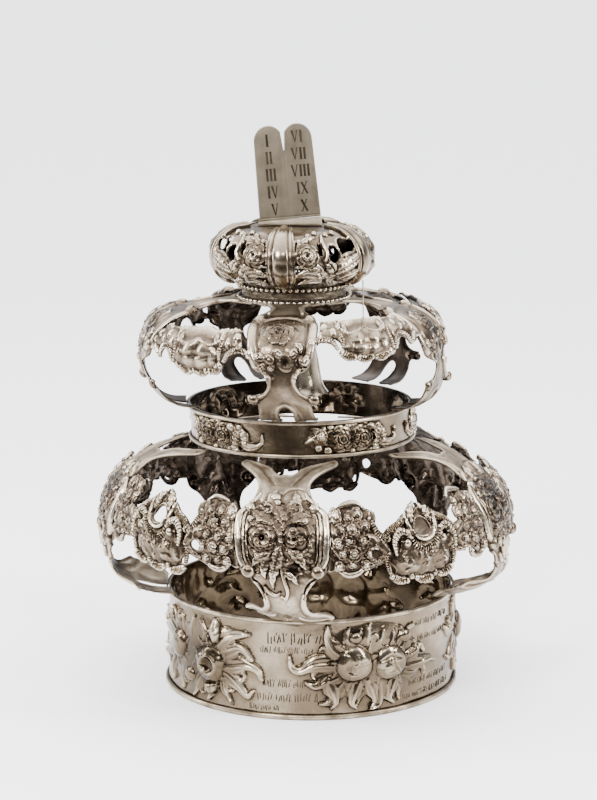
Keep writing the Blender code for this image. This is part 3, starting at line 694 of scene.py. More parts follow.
def workLowerFlowers(relief, cfg, rng):
    # two flowers side by side, each in a rolled ring
    turn = rng.uniform(0, 70)
    # painted shade and tarnish in the bowl round the rose
    addStainAndShade(relief, -12.5, 89.5, cfg["rose"] + 0.6, 0.20)
    addSwell(relief, -12.5, 89.5, cfg["rose"] + 3, cfg["rose"] + 2.4, 1.5, sharp=0.6)
    addSwell(relief, -12.5, 89.5, cfg["rose"] - 0.4, cfg["rose"] - 1, -2.4, sharp=0.8)
    addBloom(relief, -12.5, 89.8, 0.74 * cfg["rose"], cfg["roseHigh"],
             ((7, 0.68, 0.42, 0.02), (5, 0.42, 0.36, 0.22)), turn=turn, level=0.5, rng=rng, heart=-0.30)
    # painted shade and tarnish in the rose's sunk heart
    addStainAndShade(relief, -12.5, 89.8, 2.6, 0.5)
    # painted shade and tarnish in the bowl round the bud
    addStainAndShade(relief, 9.2, 90.5, cfg["bud"] + 1.6, 0.24)
    addSwell(relief, 9.4, 90.0, cfg["bud"] + 3, cfg["bud"] + 3, 1.4, sharp=0.6)
    addSwell(relief, 9.4, 90.0, cfg["bud"] + 0.4, cfg["bud"] + 0.4, -2.0, sharp=0.8)
    addFolded(relief, 9.0, 90.4, 0.84 * cfg["bud"], cfg["budHigh"], petals=4, turn=turn, level=0.2,
              swirl=0.6, deep=0.36)
    addBall(relief, 7.6, 94.2, 2.6, 1.6, level=2.6)
    addBall(relief, 12.2, 88.2, 2.2, 1.3, level=2.4)
    addSwell(relief, 8.4, 89.0, 2.2, 1.5, -1.6)


def workLowerNeck(relief, end):
    # neck and forked top: soft valley in the middle, folds out to the horns
    addSwell(relief, 0, 130, 9, 12, -0.5)
    s = relief["s"]
    relief["stain"] -= 0.07 * np.clip((s - 113) / 10, 0, 1) + 0.08 * np.clip((52 - s) / 12, 0, 1)
    relief["matt"] += 0.26 * np.clip((s - 113) / 10, 0, 1) + 0.14 * np.clip((50 - s) / 12, 0, 1)
    addBall(relief, -4.5, 118.5, 3.4, 1.8, level=0.6)
    addSwell(relief, 8.5, 118, 8.0, 7.0, 1.1, sharp=0.45)
    addGroove(relief, [(1, 122), (4, 125.6), (10, 125.4), (14.6, 121)], 1.1, 0.6)
    for side in (-1, 1):
        addRidge(relief, mirrored([(13.5, 117), (12.0, 128), (17, 139), (28, end - 6)], side), 4.6, 0.9,
                 0.5, power=1.2)
        addGroove(relief, mirrored([(6, 130), (12, 141), (22, end - 6)], side), 2.4, 0.4)
        addSwell(relief, side * 17, 146, 6, 4, 0.5, turn=side * 30)


def setStaves(kind, cfg, reliefOf):
    profile = profileOf(cfg["profile"])
    for k, angle in enumerate(cfg["angles"]):
        place = lambda x, s, out: wrapped(profile, angle + np.degrees(x / radiusAt(profile, s)), s, out)
        relief = reliefOf(profile, cfg, k)
        made = reliefPiece(f"{kind}Stave{k + 1}", relief, place, cfg["triangles"], chasedSilver)
        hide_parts(f"{kind}_stave_{k + 1}")
    print(kind, "staves made, each", round(float(profile["length"]), 1), "mm long")


setStaves("lower", lowerStave, lowerStaveRelief)


# upper staves

upperStave = {
    "angles": (-4.6, 67.5, 136.8, 205.3, 283.0),
    "profile": ((76.8, 195.9), (87.5, 197.5), (96, 203), (101, 211), (103.5, 221), (104, 231), (102.5, 241),
                (98, 250), (89.5, 257), (78, 261.5), (65, 264.5), (52.5, 266), (39.8, 266.8)),
    "grid": 0.5, "triangles": 28000,
    "rose": 9.8, "roseHigh": 3.4,
}


def upperStaveOutline(end):
    return mirroredHalf(((0, 27.5), (3.2, 25.5), (4.7, 20), (4.7, 0), (18.8, 0), (17.4, 28.5), (22.6, 32),
                         (22.6, 36.5), (12.5, 39), (9, 44), (10.5, 50), (18.5, 55), (22, 68), (23, 86),
                         (20, 98), (12.8, 112), (11.5, end - 12), (15, end - 5), (23.4, end), (12, end),
                         (0, end)))


def upperStaveCrown(x, s):
    tips = np.clip((39 - s) / 3, 0, 1) * np.clip((s - 22) / 6, 0, 1)
    return -0.8 * (x / 20) ** 2 + 3.0 * np.clip((np.abs(x) - 17) / 5, 0, 1.2) ** 2 * tips


def upperStaveRelief(profile, cfg, seed):
    rng = np.random.default_rng(10 + seed)
    end = profile["length"]
    relief = newRelief((-25, 25), (0, end), cfg["grid"], upperStaveCrown)
    cutOutline(relief, upperStaveOutline(end), steps=3)
    relief["edge"] = np.minimum(relief["edge"], np.minimum(relief["s"] + 0.4, end + 0.4 - relief["s"]))
    borderRim(relief, 0.32, 1.3, 1.3)
    workUpperFrame(relief, end)
    workUpperCurls(relief)
    workUpperRosette(relief, cfg, rng)
    addWear(relief, rng, 0.018, 0.12)
    return relief


def workUpperFrame(relief, end):
    # foot: a soft moulded arch between two plain legs, and tips that flare out like horns
    for half, high in ((6.8, 0.55), (9.8, 0.35)):
        addRidge(relief, [(-half, 1), (-half, 13), (-0.86 * half, 22.5), (-0.5 * half, 28.2),
                          (0, 30 + 0.4 * (half - 6.6)), (0.5 * half, 28.2), (0.86 * half, 22.5), (half, 13),
                          (half, 1)], 1.8, high, 1.0, power=1.4)
    addSwell(relief, 0, 18, 17, 15, -0.7)
    x, s = relief["x"], relief["s"]
    relief["matt"] += 0.14 * np.clip((52 - s) / 6, 0, 1) + 0.22 * np.clip((s - 100) / 8, 0, 1)
    relief["stain"] -= 0.14 * np.clip((s - 100) / 8, 0, 1) + 0.06 * np.exp(-((s - 47) / 5) ** 2)
    for side in (-1, 1):
        addRidge(relief, mirrored([(9.0, 48), (10.4, 42.5), (14.5, 37.6), (20.2, 34.6)], side), 3.2, 2.0,
                 0.9, level=0.2, power=1.0)
        addBall(relief, side * 19.6, 34.8, 3.9, 3.6, level=0.6)
        addStainAndShade(relief, side * 19.6, 34.8, 4.4, 0.46)
        relief["matt"] -= 0.16 * np.exp(-(np.hypot(x - side * 18.6, s - 34.8) / 7) ** 4)
        relief["edge"] = np.maximum(relief["edge"], 3.3 - np.hypot(x - side * 20.6, s - 34.4))
        # belly: broad polished sides, rolled over at the upper corners
        addRidge(relief, mirrored([(15.6, 56.5), (18.9, 66), (20.0, 78), (19.0, 90), (14.5, 99)], side),
                 3.9, 1.7, 0.7, level=-0.4, power=1.0)
        addGroove(relief, mirrored([(14.2, 62), (15.6, 73), (15.4, 84), (13, 93)], side), 1.8, 0.5)
        addSwell(relief, side * 16.4, 97.4, 5.0, 4.6, 1.6, sharp=0.8)
        addStainAndShade(relief, side * 16.4, 98, 4.4, 0.2)
        # strap that runs in to the neck
        addRidge(relief, mirrored([(11.0, 106), (9.2, 116), (8.8, end - 14), (14, end - 3)], side), 1.5,
                 1.3, 0.7, power=0.8)
        addRidge(relief, mirrored([(12.8, 54.6), (10.4, 51), (9.2, 46)], side), 1.3, 1.0, 0.4, power=0.9)
    addSwell(relief, 14.6, 59.6, 4.8, 4.0, 2.2, turn=30, sharp=0.6)
    addGroove(relief, [(10.8, 60.8), (12.6, 56.8), (17, 55.6)], 1.3, 1.1)
    # painted shade and tarnish in the groove beside the curl
    addStainAndShade(relief, 12.5, 57.2, 2.0, 0.2)
    addSwell(relief, 0, 43, 7.5, 10, 0.6)
    addSwell(relief, -8, 71, 10, 12, 1.0)
    addSwell(relief, 10, 72, 8, 11, 0.8)
    addRidge(relief, [(-15, 93), (-8, 98.5), (0, 100.3), (8, 98.8), (15, 93)], 2.6, 0.6, 0.5, power=1.2)


def workUpperCurls(relief):
    # soft curls between the flower and the waist, round a dark oval eye
    for x, s, radius, high in ((-13.4, 62.0, 3.8, 1.9), (-7.4, 60.6, 4.0, 1.9), (-1.6, 64.4, 3.6, 1.4),
                               (-11.2, 56.0, 3.2, 1.5), (-5.6, 55.4, 2.6, 1.2), (8.4, 64.6, 3.4, 1.3)):
        addSwell(relief, x, s, radius, 0.8 * radius, high, turn=30 * x, sharp=0.7)
        addGroove(relief, [(x - 0.5 * radius, s - 0.3 * radius), (x, s + 0.25 * radius),
                           (x + 0.5 * radius, s - 0.1 * radius)], 0.8, 0.5)
    addSwell(relief, -6.5, 52, 3.4, 4.4, 1.0, turn=20, sharp=0.7)
    addStainAndShade(relief, -8, 58, 7, 0.16)
    addStainAndShade(relief, 15, 60, 6, 0.2)
    addSwell(relief, 3.4, 59.0, 5.4, 6.8, 1.3, turn=14, sharp=0.8)
    addSwell(relief, 3.4, 59.0, 3.2, 4.6, -1.3, turn=14, sharp=1.2)
    # painted shade and tarnish inside the oval eye
    addStainAndShade(relief, 3.4, 59.0, 2.4, 0.34, oval=1.4)


def workUpperRosette(relief, cfg, rng):
    # fine flat rosette of many narrow rings of petals
    relief["stain"] += 0.08
    addStainAndShade(relief, -1.8, 79.5, 11, 0.12, oval=0.8)
    turn = rng.uniform(0, 72)
    addSwell(relief, -1.8, 79.5, cfg["rose"] + 3.5, cfg["rose"] - 0.5, 1.5, sharp=0.9)
    addFolded(relief, -1.8, 79.5, cfg["rose"], 0.42 * cfg["roseHigh"], petals=7, turn=turn, level=1.0,
              swirl=0.4, deep=0.34)
    addFolded(relief, -1.6, 79.8, 0.66 * cfg["rose"], 0.60 * cfg["roseHigh"], petals=5, turn=turn + 40,
              level=1.2, swirl=0.7, deep=0.34)
    addFolded(relief, -1.4, 80.0, 0.34 * cfg["rose"], 0.74 * cfg["roseHigh"], petals=3, turn=turn,
              level=1.3, swirl=0.9, deep=0.4)
    addSwell(relief, -1.4, 80.0, 1.5, 1.2, -1.0)
    # painted shade and tarnish in the rosette's sunk heart
    addStainAndShade(relief, -1.4, 80.0, 2.0, 0.35)
    addLeaf(relief, [(9.5, 71), (12.5, 68), (13, 64)], 2.2, 1.0, lobes=3, level=0.7, puff=0.3)


setStaves("upper", upperStave, upperStaveRelief)


# garlands: worked in a flat frame, sideways in mm and up by height, then bent into the gap between two staves

lowerGarland = {
    "profile": ((137, 96), (138.8, 108), (138.5, 120), (136, 132), (129.5, 143), (119.5, 153.5)),
    "radius": 138.5, "side": 13.3, "rise": (1.5, 7.0), "stretch": 1.0, "top": 0.0,
    "grid": 0.5, "triangles": 30000, "half": 60.08,
}
upperGarland = {
    "profile": ((99.5, 226), (101.5, 237), (99.5, 247), (93.5, 254.5), (84, 261)),
    "radius": 101.0, "side": 13.0, "rise": (-5.0, -7.0), "stretch": 1.19, "top": 261.0,
    "grid": 0.45, "triangles": 18000, "half": 40.63,
}


def staveEdge(profile, outline, low, high):
    # where the garland meets the stave beside it: (degrees from the stave's middle, height)
    spots = [(x, s) for x, s in outline if low <= s <= high and x > 0]
    return [(math.degrees((x + 0.5) / radiusAt(profile, s)), float(heightAt(profile, s))) for x, s in spots]


def garlandLoop(cfg, below, edge, above, halfTurn):
    reach = math.radians(halfTurn - cfg["side"]) * cfg["radius"]
    ends = [(math.radians(halfTurn - a) * cfg["radius"] * cfg["half"] / reach, z) for a, z in edge]
    scaled = lambda spots: [(u * cfg["half"], z) for u, z in spots]
    return scaled(below) + ends + scaled(above) + [(-x, z) for x, z in reversed(ends)]


roseRows = ((5, 0.52, 0.46, 0.1), (3, 0.2, 0.36, 0.42))


def lowerGarlandRelief(cfg, loop, seed):
    rng = np.random.default_rng(30 + seed)
    relief = newRelief((-74, 74), (98, 153), cfg["grid"])
    cutOutline(relief, loop, steps=3)
    borderRim(relief, 0.5)
    relief["stain"] += 0.22
    workLowerCartouche(relief, rng)
    workLowerGarlandNecks(relief)
    workFlowerPanels(relief, rng)
    cutHole(relief, [(-2.2, 131.6), (0.6, 129.4), (6.2, 129.4), (9.2, 132.2), (7.2, 137), (3.4, 139),
                     (-0.6, 136.4)], rim=0.8)
    cutHole(relief, [(-35.2, 119.6), (-32.4, 117.8), (-29.4, 119.6), (-29.6, 123.0), (-32.8, 124.4),
                     (-35.4, 122.4)], rim=0.5)
    addWear(relief, rng, 0.04, 0.14)
    relief["h"] = np.minimum(relief["h"], 4.0 - 0.02 * np.abs(relief["s"] - 116))
    return relief


def workLowerCartouche(relief, rng):
    # two soft bosses under a ribbed collar, round a pierced eye
    addSwell(relief, 2, 117, 24, 18, 2.0, sharp=0.7)
    addSwell(relief, -4.5, 113.5, 9.5, 7.5, 1.3)
    addSwell(relief, 11.5, 114.5, 8.5, 7.0, 1.2)
    addScales(relief, rng, (-17, 20), (104, 124), 46, 1.7, 0.5)
    for x, z, wide, tall in ((-15, 113, 3.4, 7), (-8, 108.5, 5.5, 3.6), (3.5, 108, 5.0, 3.4),
                             (13, 108.6, 5.0, 3.4), (19.5, 114, 3.4, 6.5), (3, 116, 3.0, 6.0)):
        addSwell(relief, x, z, wide, tall, 0.9, turn=rng.uniform(-20, 20), sharp=0.8)
    addRidge(relief, [(-8, 141), (-6.5, 134), (-5, 129)], 2.0, 2.0, 0.5, level=0.8)
    addRidge(relief, [(14.5, 140), (13.6, 134), (12.4, 129)], 2.0, 2.0, 0.5, level=0.8)
    fanRibs(relief, [(-8.5, 131), (-5, 124.5), (1.5, 121.2), (8.5, 122), (14, 126.4), (16, 131)], 3.0, 2.6,
            1.7, level=1.1)
    addRidge(relief, [(-5, 132), (-2.4, 127.8), (3.4, 126), (9, 128), (11.2, 132)], 1.2, 2.4, 0.6, level=1.5)
    addLeaf(relief, [(-4, 137), (-2.5, 142), (3.2, 148)], 3.2, 2.4, lobes=4, level=0.8, edge=True, puff=0.6)
    addLeaf(relief, [(11, 136.5), (10, 141.5), (5.0, 147.5)], 3.0, 2.2, lobes=4, level=0.8, edge=True,
            puff=0.6)
    for side, across in ((-1, -12.5), (1, 20.5)):
        addRidge(relief, [(across + side * 6.5, 119), (across + side * 6.6, 127),
                          (across + side * 1.5, 132.4), (across - side * 4.4, 130),
                          (across - side * 4.0, 124.4)], 2.7, 2.8, 0.4, level=1.0, ribs=0.35, ribWide=2.0)
        addStainAndShade(relief, across, 127, 5, 0.08)
        addBall(relief, across - side * 2.6, 125.4, 2.7, 2.5, level=1.2)
        addGroove(relief, [(across + side * 3.4, 121), (across + side * 2.4, 127.6),
                           (across - side * 1.2, 128.2)], 1.3, 1.4)
    fanRibs(relief, [(-27, 128.5), (-21, 133.5), (-14, 136.5), (-8, 140.5)], 2.5, 2.1, 1.35, edge=True)
    fanRibs(relief, [(11, 143.5), (16.5, 139), (22.5, 136), (28.5, 130.5)], 2.4, 2.1, 1.35, edge=True)
    fanRibs(relief, [(25, 122), (26.5, 115), (25.4, 108.5)], 1.9, 1.9, 1.5, edge=True, level=0.7)
    fanRibs(relief, [(-24, 120), (-24.6, 114), (-23.4, 108)], 1.7, 1.7, 1.5, edge=True, level=0.7)
    for a, b in (((-22, 105), (-12.5, 101.8)), ((-4.5, 102.6), (5.5, 101.6)), ((13.5, 102.6), (22.5, 105.6))):
        fanRibs(relief, [a, (0.5 * (a[0] + b[0]), 0.5 * (a[1] + b[1]) - 1.2), b], 2.9, 2.7, 1.8, level=1.0,
                edge=True)
    for x, z in ((-8.6, 104), (9.5, 104.2)):
        addBall(relief, x, z, 2.2, 2.0, edge=True, level=0.9)


def workLowerGarlandNecks(relief):
    # necks on both sides: a ribbed edge over a smooth hollow strap
    for side in (-1, 1):
        fanRibs(relief, mirrored([(33, 139 - 2 * side), (29, 132.5), (23, 129)], side), 2.4, 2.0, 1.4,
                edge=side < 0)
        addRidge(relief, mirrored([(36, 131), (29, 127), (23.5, 121)], side), 4.6, 1.4, 0.6, level=0.5,
                 power=1.0)
        addRidge(relief, mirrored([(35, 124), (30, 121.5), (26, 117)], side), 2.4, 1.0, 0.6, level=0.5,
                 power=1.0)
        fanRibs(relief, mirrored([(36, 114.4), (30.5, 115.6), (25.5, 118)], side), 1.5, 1.6, 1.2, level=0.5,
                edge=True)


def workFlowerPanels(relief, rng):
    # close rows of small roses next to the staves
    for side in (-1, 1):
        addSwell(relief, side * 46, 129, 16, 24, 1.3, sharp=0.6)
        addStainAndShade(relief, side * 46, 129, 15, 0.12, oval=1.5)
        addScales(relief, rng, (46 * side - 14, 46 * side + 14), (108, 149), 60, 1.5, 0.7)
        for k in range(9):
            x, z, turn = side * 46 + rng.uniform(-11, 11), rng.uniform(112, 147), rng.uniform(0, 6.28)
            addLeaf(relief, [(x, z), (x + 3 * math.cos(turn), z + 3 * math.sin(turn)),
                             (x + 6.5 * math.cos(turn + 0.3), z + 6.5 * math.sin(turn + 0.3))], 2.2, 1.7,
                    lobes=3, level=0.8, puff=0.6)
        addRidge(relief, mirrored([(58, 113), (52, 108.6), (45, 109.4), (40.5, 113.6)], side), 2.2, 2.0,
                 0.5, level=0.9, edge=True)
        addRidge(relief, mirrored([(35, 147), (40, 150), (47, 149.6), (52, 148.6)], side), 1.8, 1.7, 0.5,
                 level=0.8, edge=True)
        for row, z in enumerate((114.5, 121.6, 129.0, 136.4, 143.4)):
            for x in ((37.6, 45.6, 53.4) if row % 2 else (40.6, 48.8, 56.4)):
                size = rng.uniform(5.4, 6.8) if (row, x) in ((1, 45.6), (3, 45.6)) else rng.uniform(2.8, 4.9)
                spot = (side * x + rng.uniform(-1.3, 1.3), z + rng.uniform(-1.3, 1.3))
                addBloom(relief, *spot, size, 0.36 * size + 1.1, roseRows, turn=rng.uniform(0, 72),
                         level=1.0, rng=rng, edge=abs(x) < 40 or z > 140, heart=0.24)
                addStainAndShade(relief, *spot, 1.15 * size, -0.04)


def upperGarlandRelief(cfg, loop, seed):
    rng = np.random.default_rng(50 + seed)
    relief = newRelief((-52, 52), (234, 267), cfg["grid"])
    cutOutline(relief, loop, steps=3)
    borderRim(relief, 0.4)
    relief["stain"] += 0.09
    workUpperCartouche(relief, rng)
    workUpperGarlandNecks(relief, rng)
    addWear(relief, rng, 0.03, 0.12)
    relief["h"] = np.minimum(relief["h"], 4.2)
    return relief


def workUpperCartouche(relief, rng):
    # a soft dented pillow in a beaded and scalloped edge
    addSwell(relief, -4.5, 249.5, 21, 12.5, 2.3, sharp=0.6)
    for x, z, wide, tall, high in ((-13, 251.5, 6.5, 4.6, 0.9), (2.5, 251.0, 6.5, 4.8, 0.9),
                                   (-10, 245.2, 6.0, 3.8, 0.8), (0.5, 245.0, 6.0, 3.8, 0.7),
                                   (-4.5, 254.6, 4.0, 2.6, 0.6), (10.5, 247.5, 4.6, 5.0, 0.7),
                                   (-18.8, 246.8, 3.8, 4.6, 0.7)):
        addSwell(relief, x, z, wide, tall, high, turn=rng.uniform(-25, 25))
    addGroove(relief, [(-17, 248.6), (-10, 247.9), (-4.4, 248.9), (3, 247.8), (9, 249.4)], 1.6, 0.45)
    addBeads(relief, [(-22, 256.0), (-17, 253.8), (-11, 254.4), (-5, 256.0), (1, 254.2), (7, 254.0),
                      (13, 256.2)], 0.85, 0.8, level=2.0)
    addRidge(relief, [(-24, 260.6), (-17, 258.8), (-9, 259.8), (-2, 259.4), (7, 259.6), (15, 260.0)], 3.0,
             1.3, 0.6, level=0.8, edge=True, ribs=0.3, ribWide=1.7)
    for a, b in (((-23.4, 243.4), (-16.0, 240.2)), ((-12.0, 240.0), (-3.4, 239.8)),
                 ((0.6, 239.8), (8.6, 240.6))):
        fanRibs(relief, [a, (0.5 * (a[0] + b[0]), 0.5 * (a[1] + b[1]) - 0.9), b], 2.7, 1.9, 1.5, level=1.0,
                edge=True)
    addBall(relief, 11.6, 242.0, 2.3, 1.6, edge=True, level=1.0)
    fanRibs(relief, [(-24.0, 246), (-22.6, 251), (-24, 256)], 1.5, 1.2, 1.3, level=1.0)
    fanRibs(relief, [(14.8, 244.6), (14.2, 251), (15.4, 256)], 1.6, 1.1, 1.4, level=0.8)
    addScroll(relief, -19.8, 257.2, 3.4, 0.9, 1.0, start=90, wide=1.3, level=1.5)
    addScroll(relief, 11.0, 257.2, 3.4, 0.9, 1.0, start=90, hand=-1, wide=1.3, level=1.5)


def workUpperGarlandNecks(relief, rng):
    # necks to the staves: uneven leafy straps over a beaded arch
    for side, low in ((-1, 254.6), (1, 254.0)):
        addRidge(relief, mirrored([(50, low + 0.6), (39, low + 2.0), (29, low + 1.6), (19, low + 0.5)],
                                  side), 5.6, 1.5, 0.75, level=0.4, power=1.0)
        for x, dz, size in ((44, 1.5, 2.6), (38, -0.6, 2.4), (33.5, 3.2, 2.9), (28, 0.6, 2.4),
                            (23.5, 3.4, 2.3)):
            addSwell(relief, side * x, low + dz, size, 0.8 * size, rng.uniform(0.8, 1.3),
                     turn=rng.uniform(0, 90), sharp=0.7)
        addLeaf(relief, mirrored([(24, low + 4), (29, low + 6), (35, low + 6.4)], side), 2.4, 1.1, lobes=4,
                level=0.8, edge=True, puff=0.6)
        addGroove(relief, mirrored([(46, low + 2.4), (38, low + 1.2), (30, low + 2.4)], side), 0.9, 0.5)
    fanRibs(relief, [(-43, 250.6), (-36, 252.0), (-29.5, 250.6), (-26.4, 246.4)], 1.7, 1.2, 1.2, level=0.7,
            edge=True)
    fanRibs(relief, [(17.4, 244.2), (20.5, 249.4), (25, 251.4), (29.6, 249.2), (32.0, 245.2)], 1.8, 1.3,
            1.3, level=0.7, edge=True)
    addBall(relief, -43.5, 250.2, 2.6, 1.5, swirl=0.3, level=0.9, edge=True)
    addRidge(relief, [(34, 246.4), (38, 249.6), (45, 248.4)], 2.2, 1.3, 0.5, level=0.7, edge=True)


def hangGarlands(kind, cfg, staves, outlineOf, low, high, loops, reliefOf):
    profile, staveProfile = profileOf(cfg["profile"]), profileOf(staves["profile"])
    edge = staveEdge(staveProfile, outlineOf(staveProfile["length"]), low, high)
    angles = (*staves["angles"], staves["angles"][0] + 360)
    for k in range(5):
        flip = 1 if k < 3 else -1
        middle, halfTurn = 0.5 * (angles[k] + angles[k + 1]), 0.5 * (angles[k + 1] - angles[k])
        loop = garlandLoop(cfg, loops[0], edge, loops[1], halfTurn)
        relief = reliefOf(cfg, loop, k)
        perMm = (halfTurn - cfg["side"]) / cfg["half"]
        raised = (0.0, 0.0) if flip > 0 else cfg["rise"]
        stretch = 1.0 if flip > 0 else cfg["stretch"]

        def place(x, z, out, middle=middle, perMm=perMm, raised=raised, stretch=stretch, flip=flip):
            u = np.clip(x / cfg["half"], -1, 1)
            rise = raised[0] + (raised[1] - raised[0]) * 0.5 * (u + 1)
            height = cfg["top"] + (z - cfg["top"]) * stretch + rise
            return wrapped(profile, middle + flip * perMm * x, alongAt(profile, height), out)

        made = reliefPiece(f"{kind}Garland{k + 1}", relief, place, cfg["triangles"], chasedSilver, flip=flip)
        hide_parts(f"{kind}_garland_{k + 1}")


# the lower and the upper outline between the staves: (share of half the width, height)
lowerLoops = ([(-0.93, 112), (-0.86, 108.5), (-0.72, 109), (-0.55, 112), (-0.42, 114), (-0.33, 109),
               (-0.34, 103), (0.05, 101), (0.36, 102), (0.42, 110), (0.5, 115.5), (0.7, 114), (0.84, 109),
               (0.93, 110)],
              [(0.92, 148), (0.72, 146.5), (0.6, 141), (0.64, 135), (0.45, 132), (0.36, 136), (0.17, 140),
               (0.08, 146), (-0.05, 139), (-0.27, 136), (-0.4, 131.5), (-0.52, 134), (-0.46, 145),
               (-0.7, 149), (-0.85, 150)])
upperLoops = ([(-0.93, 250.5), (-0.76, 252.5), (-0.6, 250), (-0.58, 243), (-0.48, 239.5), (0.0, 239),
               (0.38, 239.5), (0.45, 247), (0.55, 252.5), (0.72, 251.5), (0.84, 245)],
              [(0.85, 257), (0.68, 261), (0.4, 261.5), (0.0, 260), (-0.34, 260.5), (-0.6, 261.5),
               (-0.85, 260)])
hangGarlands("lower", lowerGarland, lowerStave, lowerStaveOutline, 66, 106, lowerLoops, lowerGarlandRelief)
hangGarlands("upper", upperGarland, upperStave, upperStaveOutline, 60, 88, upperLoops, upperGarlandRelief)
print("garlands hung")


# bands

baseBand = {"radius": 98.4, "topRadius": 97.3, "bottom": 0.3, "top": 67.6, "first": 24.5, "grid": 0.62,
            "triangles": 130000, "flowerHigh": 5.4, "shift": (0, 0, 0, 0, -9.5),
            "worn": (-0.05, 0.0, 0.0, 0.04, 0.11)}
middleBand = {"radius": 75.2, "bottom": 170.4, "top": 194.8, "first": 24.5, "grid": 0.5, "triangles": 62000,
              "flowerHigh": 3.6, "shift": (1.2, 0, 0, 0, -1.5), "bare": (0.13, 0.12, 0.08, 0.06, 0.10)}

# path, half width, height, fold: flames above the flowers, hooked leaves beside them, curls below
baseLeaves = (
    ([(-20, 42), (-27, 47), (-31, 54), (-31, 62.5)], 6.8, 3.4, 1),
    ([(-14, 45), (-19, 53), (-17.5, 60.5)], 5.4, 3.0, -1),
    ([(-12, 45), (-11, 51), (-9, 59)], 4.8, 3.0, 1),
    ([(-5, 45), (-5.5, 53), (-3.6, 62)], 5.2, 3.0, -1),
    ([(3, 44), (6, 51), (7, 58.5)], 5.2, 2.8, 1),
    ([(10, 43), (12, 49), (15, 55)], 4.8, 3.0, -1),
    ([(17, 42), (22, 48), (27, 53.5), (32, 57)], 6.4, 3.6, 1),
    ([(21, 36), (29, 35.5), (35, 38), (38, 41.5), (40.5, 36.5)], 5.8, 3.6, 1),
    ([(21, 31), (32, 31), (42, 30.5), (49, 30), (54, 27.5)], 6.4, 3.2, -1),
    ([(19, 26), (29, 24), (37, 26.5), (41, 31)], 5.0, 3.0, 1),
    ([(14, 24), (18.5, 17), (18, 8)], 5.4, 3.0, -1),
    ([(2, 25), (4, 16), (3, 8), (-3, 5)], 5.6, 3.0, 1),
    ([(-9, 25), (-9, 17), (-13, 9)], 5.6, 3.0, -1),
    ([(-19, 26), (-24, 20), (-31, 12), (-37, 11)], 6.8, 3.2, -1),
    ([(-22, 31), (-31, 26.5), (-39, 22.5), (-46, 25)], 6.8, 3.4, 1),
    ([(-22, 37), (-32, 38), (-41, 36.5), (-50, 33), (-55, 35), (-56.5, 42)], 6.8, 4.0, 1),
)
otherLeaves = (
    ([(-8, 46), (-9.5, 52), (-12, 58.5)], 5.8, 3.0, 1),
    ([(-16, 47), (-22, 53), (-28, 60)], 5.6, 3.0, -1),
    ([(1, 45), (0, 52), (2, 60)], 5.4, 3.0, 1),
    ([(-23, 45), (-31, 50), (-33, 58)], 5.6, 3.0, 1),
    ([(10, 44), (12, 51), (9, 58)], 5.2, 3.0, -1),
    ([(24, 43), (30, 49.5), (38, 54), (49, 55.5)], 7.4, 4.4, -1),
    ([(26, 38), (35, 42), (43, 44.5), (51, 38)], 7.0, 4.2, 1),
    ([(27, 32), (36, 32), (46, 34), (55, 31), (58.5, 25.5)], 6.8, 3.6, -1),
    ([(25, 26), (33, 25), (41, 20), (48, 13), (52, 17)], 7.0, 3.8, 1),
    ([(18, 22), (20, 14), (17, 6)], 5.8, 3.2, -1),
    ([(8, 20), (6, 13), (2, 6)], 5.8, 3.2, 1),
    ([(28, 22), (31, 14), (36, 7)], 4.6, 2.8, 1),
    ([(-11, 24), (-13, 15), (-11, 8)], 5.6, 3.0, 1),
    ([(-20, 27), (-27, 19), (-29, 9)], 6.0, 3.2, -1),
    ([(-25, 33), (-36, 29), (-44, 23), (-50, 24)], 6.4, 3.2, 1),
    ([(-25, 40), (-36, 43), (-46, 40), (-52, 45)], 6.4, 3.4, -1),
)


def ringLeaves(relief, cx, leaves, flip, rng, loosen=0.5):
    for path, wide, high, fold in leaves:
        spots = [(cx + flip * x + rng.uniform(-loosen, loosen), s + rng.uniform(-loosen, loosen)) for x,
                 s in path]
        # a side lobe first, so that the leaf itself lies over its root
        run = smoothPath(spots)
        root, ahead = run[int(0.34 * len(run))], run[int(0.62 * len(run))] - run[int(0.34 * len(run))]
        ahead *= min(1.0, 6.0 / math.hypot(*ahead))
        across = np.array((-ahead[1], ahead[0])) * fold * flip
        addFlame(relief, [root, root + 0.55 * ahead + 0.55 * across, root + 1.0 * ahead + 1.05 * across,
                          root + 0.9 * ahead + 1.5 * across], 0.62 * wide, 0.8 * high, level=0.3, curl=0.9,
                 fold=-fold * flip)
        addFlame(relief, spots, wide * rng.uniform(0.98, 1.1), high, level=0.35, curl=1.2, fold=fold * flip)


def bandPiece(name, cfg, work, node, material, **finish):
    profile = profileOf(((cfg["radius"], cfg["bottom"]), (cfg.get("topRadius", cfg["radius"]), cfg["top"])))
    relief, around = ringGrid(profile, cfg["radius"], cfg["grid"])
    work(relief, around)
    cfg["worked"], cfg["bent"] = relief, profile
    place = lambda x, s, out: wrapped(profile, cfg["first"] - 36 + np.degrees(x / cfg["radius"]), s, out)
    made = reliefPiece(name, relief, place, cfg["triangles"], material, ring=True, **finish)
    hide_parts(node)


def ruff(relief, x, s, radius, count, turn, flip, rng):
    # short folded leaves that stand out all round a flower
    for k in range(count):
        a = math.radians(turn + 360 * k / count) + rng.uniform(-0.12, 0.12)
        b = a + 0.22 * flip
        far = radius * rng.uniform(1.16, 1.34)
        addFlame(relief, [(x + 0.7 * radius * math.cos(a), s + 0.7 * radius * math.sin(a)),
                          (x + far * math.cos(b), s + far * math.sin(b))], 0.34 * radius, 2.4, level=1.1,
                 curl=0.5, fold=flip if k % 2 else -flip)


